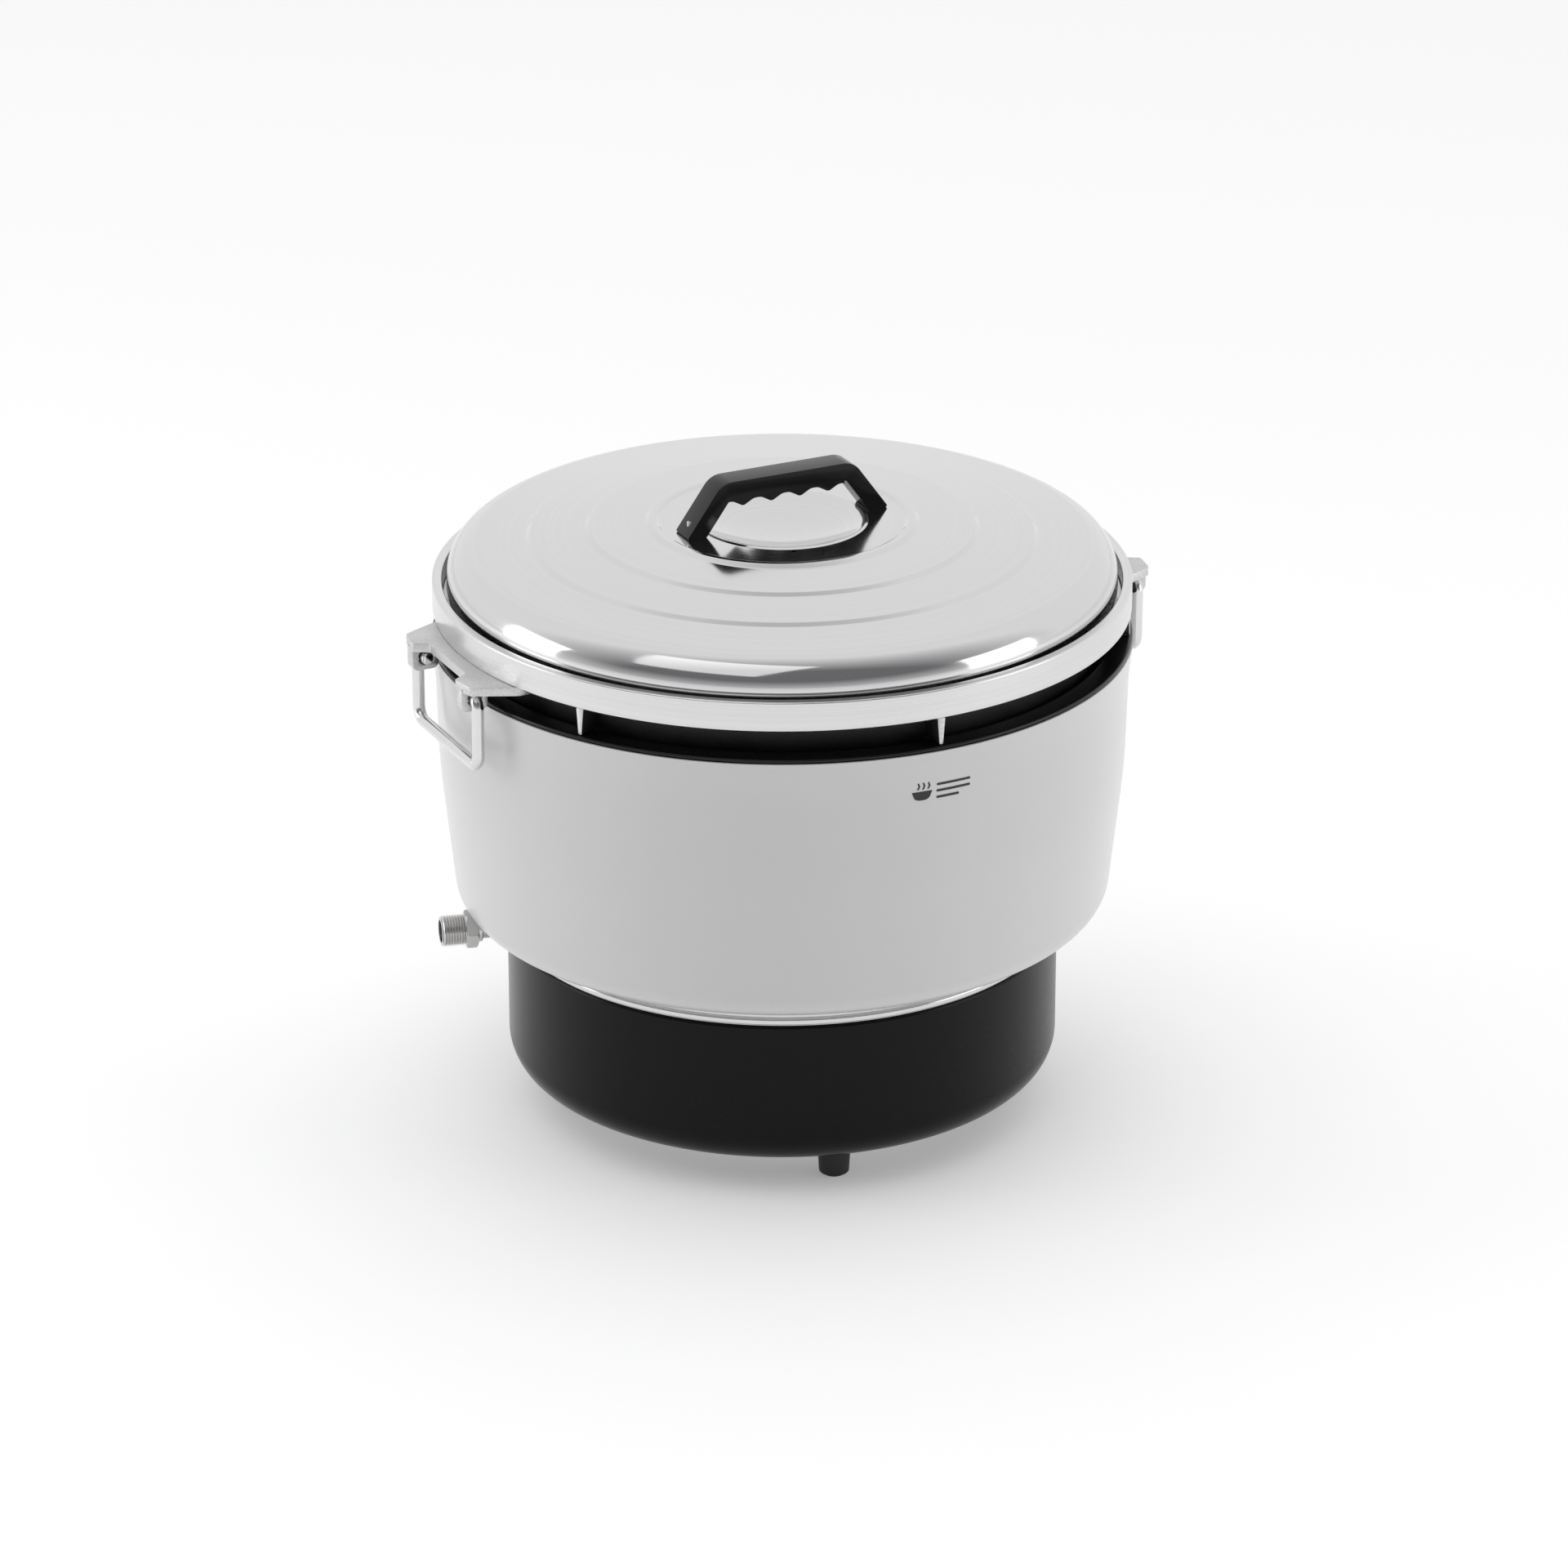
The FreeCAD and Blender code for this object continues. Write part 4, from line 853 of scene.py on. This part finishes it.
def lid_handle():
    """A bridge on sloping legs, its outer edges well rounded, with a scalloped finger rib below."""
    low = plate_top
    tall = handle_high.z - low
    top = handle_high.z
    under = top - 11.5 * mm
    tip_drop = 6.9 * mm
    valley_drop = 3.2 * mm
    half = 72.5 * mm
    top_half = 47 * mm
    lean = (half - top_half) / tall
    foot = half - 14 * mm
    arch = foot - lean * (under - low)
    width = (handle_high.y - handle_low.y) / 2
    outer = [(half, low, 1.2 * mm), (top_half, top, 14 * mm), (-top_half, top, 14 * mm),
             (-half, low, 1.2 * mm)]
    inner = [(-foot, low, 1 * mm), (-arch, under, 4 * mm), (arch, under, 4 * mm), (foot, low, 1 * mm)]
    points = [Vector((p.x, -width, p.y)) for p in rounded(outer + inner, True, 10)]
    bar = slab("handle_bridge", points, Vector((0, 2 * width, 0)))

    def is_rim(edge, middle):
        return abs(abs(middle.y) - width) < 0.01 * mm and middle.z > low + 0.3 * mm

    def is_outer(edge, middle):
        slant = abs(middle.x) - (half - lean * (middle.z - low))
        return is_rim(edge, middle) and (slant > -5 * mm or middle.z > top - 5 * mm)

    bevelled(bar, is_outer, 4.2 * mm, 6)
    bevelled(bar, lambda edge, middle: is_rim(edge, middle) and crease(edge, 60), 1.2 * mm, 3)
    smooth(cleaned(bar), 40)
    pitch = 20.4 * mm
    waves = [(arch + 1 * mm, under + 1 * mm), (-arch - 1 * mm, under + 1 * mm),
             (-arch - 1 * mm, under - 3.6 * mm)]
    for i in range(4):
        tip = (i - 1.5) * pitch
        waves += [(tip - 7.6 * mm, under - valley_drop, 7 * mm), (tip - 0.9 * mm, under - tip_drop, 2.4 * mm),
                  (tip + 0.9 * mm, under - tip_drop, 2.4 * mm), (tip + 7.6 * mm, under - valley_drop, 7 * mm)]
    waves.append((arch + 1 * mm, under - 3.6 * mm))
    side = width - 3 * mm
    points = [Vector((p.x, -side, p.y)) for p in rounded(waves, True, 10)]
    rib = slab("finger_rib", points, Vector((0, 2 * side, 0)))
    bevelled(rib, lambda edge, middle: abs(abs(middle.y) - side) < 0.01 * mm and middle.z < under,
             0.9 * mm, 3)
    bar = joined("handle_bridge", [bar, smooth(rib, 40)])
    finished(bar, "lid", "handle_bakelite", bakelite, "lid_handle")


# ---- Gas inlet --------------------------------------------------------------------------


def inlet_nipple():
    """A pipe thread, its hex and a collar, turned along Z and laid along the inlet."""
    pitch = 1.814 * mm
    crest, root = 10.48 * mm, 9.33 * mm
    corners = [(7.5 * mm, 0), (root + 0.2 * mm, 0)]
    for i in range(8):
        z = (i + 0.35) * pitch
        corners += [(root, z), (crest - 0.1 * mm, z + 0.42 * pitch), (crest - 0.1 * mm, z + 0.58 * pitch)]
    corners += [(root, 15.4 * mm), (root, 17 * mm), (7.5 * mm, 17 * mm)]
    thread = turned("thread", corners, 64)
    hexagon = [Vector((12.7 * mm * math.cos(math.radians(60 * i)), 12.7 * mm * math.sin(math.radians(60 * i)),
                       16 * mm)) for i in range(6)]
    nut = slab("hex", hexagon, Vector((0, 0, 8 * mm)))
    chamfer = turned("chamfer", [(0, 16 * mm), (11.2 * mm, 16 * mm), (13 * mm, 17.2 * mm),
                                 (13 * mm, 22.8 * mm), (11.2 * mm, 24 * mm), (0, 24 * mm)], 64)
    combined(nut, chamfer, "INTERSECT")
    socket = rod("socket", 7.5 * mm, Vector((0, 0, 15 * mm)), Vector((0, 0, 18 * mm)))
    combined(nut, socket, "DIFFERENCE")
    collar = turned("collar", [(7.02 * mm, 23.5 * mm), (9 * mm, 23.5 * mm), (9 * mm, 27 * mm, 0.6 * mm),
                               (7.02 * mm, 27 * mm)], 48)
    nipple = joined("inlet_nipple_threaded", [thread, smooth(nut, 25), collar])
    reach = shell_edge + 0.8 * mm
    outward = Vector((math.sin(inlet_turn), -math.cos(inlet_turn), 0))
    across = outward.cross(Vector((0, 0, 1)))
    turn = Matrix((across, across.cross(outward), -outward)).transposed()
    settle(nipple, place=outward * reach + Vector((0, 0, inlet_height)), turn=turn)
    finished(nipple, "root", "nickel_fitting", nickel, "inlet_nipple")


# ---- Thermostat -------------------------------------------------------------------------


def thermostat():
    top = plunger_high.z
    low = top - 11 * mm
    head = turned("plunger_head", [(0, low), (17 * mm, low, 0.6 * mm), (17 * mm, top - 1.2 * mm, 0.4 * mm),
                                   (15.4 * mm, top, 0.6 * mm), (12 * mm, top, 0.3 * mm),
                                   (11.6 * mm, top - 0.5 * mm, 0.3 * mm), (0, top - 0.5 * mm)], 72, 20)
    stem = turned("plunger_stem", [(0, plunger_low.z), (3 * mm, plunger_low.z),
                                   (4 * mm, plunger_low.z + 1 * mm), (4 * mm, low + 0.5 * mm),
                                   (0, low + 0.5 * mm)], 32)
    piece = joined("thermostat_plunger_turned", [head, stem])
    finished(piece, "thermostat_plunger", "plunger_aluminium", plunger_turned, "thermostat_plunger")


def thermostat_spring():
    """A coil: a circle of wire turned by a screw modifier."""
    start_fresh()
    wire = 1.2 * mm
    turns = 9
    coil = spring_high.x - wire
    tall = spring_high.z - spring_low.z - 2 * wire
    bpy.ops.mesh.primitive_circle_add(vertices=10, radius=wire, fill_type="NOTHING",
                                      location=(coil, 0, spring_low.z + wire),
                                      rotation=(math.pi / 2, 0, 0))
    piece = bpy.context.object
    piece.name = "thermostat_spring_coil"
    bpy.ops.object.transform_apply(location=True, rotation=True, scale=True)
    apply_modifier(piece, "SCREW", steps=36, render_steps=36, iterations=turns,
                   screw_offset=tall / turns, use_merge_vertices=False)
    edit(piece)
    bpy.ops.mesh.select_all(action="SELECT")
    bpy.ops.mesh.fill_holes(sides=0)
    smooth(cleaned(piece), 40)
    finished(piece, "root", "spring_steel", spring_steel, "thermostat_spring")


# ---- Controls on the back ---------------------------------------------------------------


def knob():
    radius = (knob_high.x - knob_low.x) / 2
    centre = (knob_low + knob_high) / 2
    deep = knob_high.y - knob_low.y
    skirt = turned("knob_skirt", [(0, 0), (radius - 0.6 * mm, 0), (radius, 0.6 * mm, 0.3 * mm),
                                  (radius, 4.4 * mm, 1.2 * mm), (radius - 3 * mm, 5.6 * mm, 0.8 * mm),
                                  (radius - 3.8 * mm, deep - 5 * mm, 2.2 * mm), (0, deep - 5 * mm)], 96, 15)
    reach = radius - 2 * mm
    across = rounded(oblong(-reach, -3.6 * mm, reach, 3.6 * mm, 3 * mm), True, 15)
    grip = slab("knob_grip", [Vector((p.x, p.y, 3 * mm)) for p in across],
                Vector((0, 0, deep - 3 * mm)))
    bevelled(grip, lambda edge, middle: middle.z > deep - 0.01 * mm, 1.2 * mm, 4)
    smooth(grip)
    line = rounded(oblong(radius - 9 * mm, -0.7 * mm, radius - 4 * mm, 0.7 * mm, 0.6 * mm), True, 30)
    mark = slab("knob_mark", [Vector((p.x, p.y, deep - 0.05 * mm)) for p in line],
                Vector((0, 0, 0.05 * mm)))
    turn = Matrix(((0, 1, 0), (0, 0, 1), (1, 0, 0)))
    place = Vector((centre.x, knob_low.y, centre.z))
    body = joined("gas_knob_moulded", [skirt, grip])
    settle(body, place, turn)
    settle(mark, place, turn)
    finished(body, "gas_knob", "black_plastic", black_plastic, "gas_knob")
    finished(mark, "gas_knob", "electrode_ceramic", ceramic, "gas_knob")


def lever_tab():
    """The finger piece, with three grip ribs across its upper face."""
    tab = block("cook_lever_tab", tab_low, tab_high)
    bevelled(tab, lambda edge, middle: crease(edge), 2.2 * mm, 4)
    ribs = [smooth(tab, 40)]
    for i in range(3):
        y = tab_low.y + (i + 1) * (tab_high.y - tab_low.y) / 4
        rib = block("rib", (tab_low.x + 4 * mm, y - 0.7 * mm, tab_high.z - 0.6 * mm),
                    (tab_high.x - 4 * mm, y + 0.7 * mm, tab_high.z))
        bevelled(rib, lambda edge, middle: crease(edge), 0.25 * mm, 2)
        ribs.append(smooth(rib))
    piece = joined("cook_lever_tab_moulded", ribs)
    finished(piece, "cook_lever", "black_plastic", black_plastic, "lever_tab")


def ignition_button():
    centre = (button_low + button_high) / 2
    front = button_high.y
    back = button_low.y
    radius = (button_high.x - button_low.x) / 2
    cap = turned("button_cap", [(0, back), (3 * mm, back), (3 * mm, front - 18 * mm),
                                (radius, front - 18 * mm), (radius, front, 1.6 * mm),
                                (radius - 2 * mm, front, 1 * mm), (0, front - 1.4 * mm)], 64, 12)
    turn = Matrix.Rotation(-math.pi / 2, 3, "X")
    settle(cap, Vector((centre.x, 0, centre.z)), turn)
    cap.name = "ignition_button_moulded"
    finished(cap, "ignition_button", "red_plastic", red_plastic, "ignition_button")
    bezel = turned("bezel", [(7.5 * mm, 0), (10 * mm, 0), (10 * mm, 1.6 * mm, 1 * mm),
                             (7.5 * mm, 1.6 * mm, 0.5 * mm)], 64, 15)
    settle(bezel, Vector((centre.x, panel_high.y, centre.z)), turn)
    bezel.name = "ignition_bezel"
    finished(bezel, "root", "black_plastic", black_plastic)


# ---- Badge ------------------------------------------------------------------------------


shell_profile = rounded(shell_path(), False, 1.5)


def on_shell(across, up, lift):
    """A point on the shell's front, lifted off its face: across is measured round the shell."""
    radius = shell_edge
    for below, above in zip(shell_profile, shell_profile[1:]):
        if below.y <= up <= above.y and above.y > below.y:
            radius = below.x + (above.x - below.x) * (up - below.y) / (above.y - below.y)
    angle = across / radius
    return Vector(((radius + lift) * math.sin(angle), -(radius + lift) * math.cos(angle), up))


def shell_print(name, corners, middle):
    """A flat printed shape laid on the shell."""
    points = [Vector((p.x, p.y, 0)) for p in rounded(corners, True, 12)]
    piece = slab(name, points, Vector((0, 0, 0.08 * mm)))
    edit(piece)
    for i in range(-11, 12):
        bpy.ops.mesh.select_all(action="SELECT")
        bpy.ops.mesh.bisect(plane_co=(2 * i * mm, 0, 0), plane_no=(1, 0, 0))
    mesh = bmesh.from_edit_mesh(piece.data)
    for vertex in mesh.verts:
        vertex.co = on_shell(vertex.co.x, middle + vertex.co.y, 0.12 * mm + vertex.co.z)
    bmesh.update_edit_mesh(piece.data)
    start_fresh()
    return piece


def badge():
    """A plain printed pictogram: a rice bowl under three wisps of steam, beside three bars."""
    middle = shell_top - 27 * mm
    shapes = []
    bowl = [(-20 * mm, 0), (-6 * mm, 0), (-8 * mm, -5 * mm, 3 * mm), (-11 * mm, -6 * mm, 0.5 * mm),
            (-15 * mm, -6 * mm, 0.5 * mm), (-18 * mm, -5 * mm, 3 * mm)]
    shapes.append(shell_print("bowl", bowl, middle))
    for x in (-16 * mm, -12.5 * mm, -9 * mm):
        wisp = [(x - 0.6 * mm, 1.4 * mm), (x + 0.6 * mm, 1.4 * mm), (x + 1.6 * mm, 3.6 * mm, 1 * mm),
                (x + 0.6 * mm, 6 * mm), (x - 0.4 * mm, 6 * mm), (x + 0.4 * mm, 3.6 * mm, 1 * mm)]
        shapes.append(shell_print("wisp", wisp, middle))
    for i, length in enumerate((24, 24, 16)):
        y = 3.4 * mm - i * 4.4 * mm
        bar = oblong(-3 * mm, y - 0.8 * mm, (length - 3) * mm, y + 0.8 * mm, 0.7 * mm)
        shapes.append(shell_print("bar", bar, middle))
    piece = joined("badge_pictogram", shapes)
    finished(piece, "root", "badge_print", badge_print, "front_badge")


# ---- Studio -----------------------------------------------------------------------------


def floor():
    start_fresh()
    bpy.ops.mesh.primitive_plane_add(size=40, location=(0, 0, 0))
    piece = bpy.context.object
    piece.name = "studio_floor"
    material, tree, shader = new_material("studio_floor_paper", Roughness=0.9)
    shader.inputs["Base Color"].default_value = (0.93, 0.93, 0.93, 1)
    shader.inputs["Emission Color"].default_value = (1, 1, 1, 1)
    shader.inputs["Emission Strength"].default_value = 0.25
    piece.data.materials.append(material)


light_target = Vector((0, 0, 0.2))


def light(name, place, size, size_y, power):
    data = bpy.data.lights.new(name, "AREA")
    data.shape = "RECTANGLE"
    data.size = size
    data.size_y = size_y
    data.energy = power
    lamp = bpy.data.objects.new(name, data)
    bpy.context.scene.collection.objects.link(lamp)
    lamp.location = place
    lamp.rotation_euler = (light_target - Vector(place)).to_track_quat("-Z", "Y").to_euler()


def studio():
    """A white tent: bright above and behind, darker towards the camera, with tall soft side lights."""
    world = bpy.data.worlds.new("studio")
    bpy.context.scene.world = world
    world.use_nodes = True
    tree = world.node_tree
    background = tree.nodes["Background"]
    sky = add(tree, "TexCoord").outputs["Generated"]
    towards = add(tree, "VectorMath", {0: sky, 1: (-0.44, -0.90, 0.0)}, operation="DOT_PRODUCT")
    front = mapped(tree, towards.outputs["Value"], -0.25, 0.55, 0.0, 1.0)
    height = add(tree, "SeparateXYZ", {"Vector": sky}).outputs["Z"]
    lifted = mapped(tree, height, 0.0, 0.35, 0.5, 1.0)
    mask = math_node(tree, "MULTIPLY", front, lifted)
    mix = add(tree, "Mix", {"Factor": mask, 6: (1.0, 1.0, 1.0, 1), 7: (0.20, 0.20, 0.21, 1)},
              data_type="RGBA")
    tree.links.new(mix.outputs[2], background.inputs["Color"])
    background.inputs["Strength"].default_value = 1.0
    light("left_strip", (-2.7, 1.32, 0.9), 1.3, 1.8, 16)
    light("right_strip", (2.3, -1.93, 0.8), 1.5, 1.6, 14)
    light("key_above", (-1.6, -1.0, 3.2), 2.4, 2.4, 14)
    bpy.context.scene.view_settings.view_transform = "Standard"


def camera():
    data = bpy.data.cameras.new("camera")
    data.sensor_width = 36
    data.lens = 150
    data.shift_x = 0.00115
    eye = bpy.data.objects.new("camera", data)
    bpy.context.scene.collection.objects.link(eye)
    azimuth = math.radians(-26)
    elevation = math.radians(22.8)
    distance = 4.304
    target = Vector((0, 0, 0.2152))
    away = Vector((math.sin(azimuth) * math.cos(elevation), -math.cos(azimuth) * math.cos(elevation),
                   math.sin(elevation)))
    eye.location = target + away * distance
    eye.rotation_euler = (-away).to_track_quat("-Z", "Y").to_euler()
    bpy.context.scene.camera = eye


# ---- The whole --------------------------------------------------------------------------

for node, material in node_finishes.items():
    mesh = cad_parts[node].data
    mesh.materials.clear()
    mesh.materials.append(material)

base_drum()
rubber_feet()
trim_ring()
outer_shell()
pot_support_ring()
heat_shield()
pot_casting()
gussets()
lugs()
bails()
lid_shell()
lid_handle()
inlet_nipple()
thermostat()
thermostat_spring()
knob()
lever_tab()
ignition_button()
badge()
floor()
studio()
camera()

start_fresh()
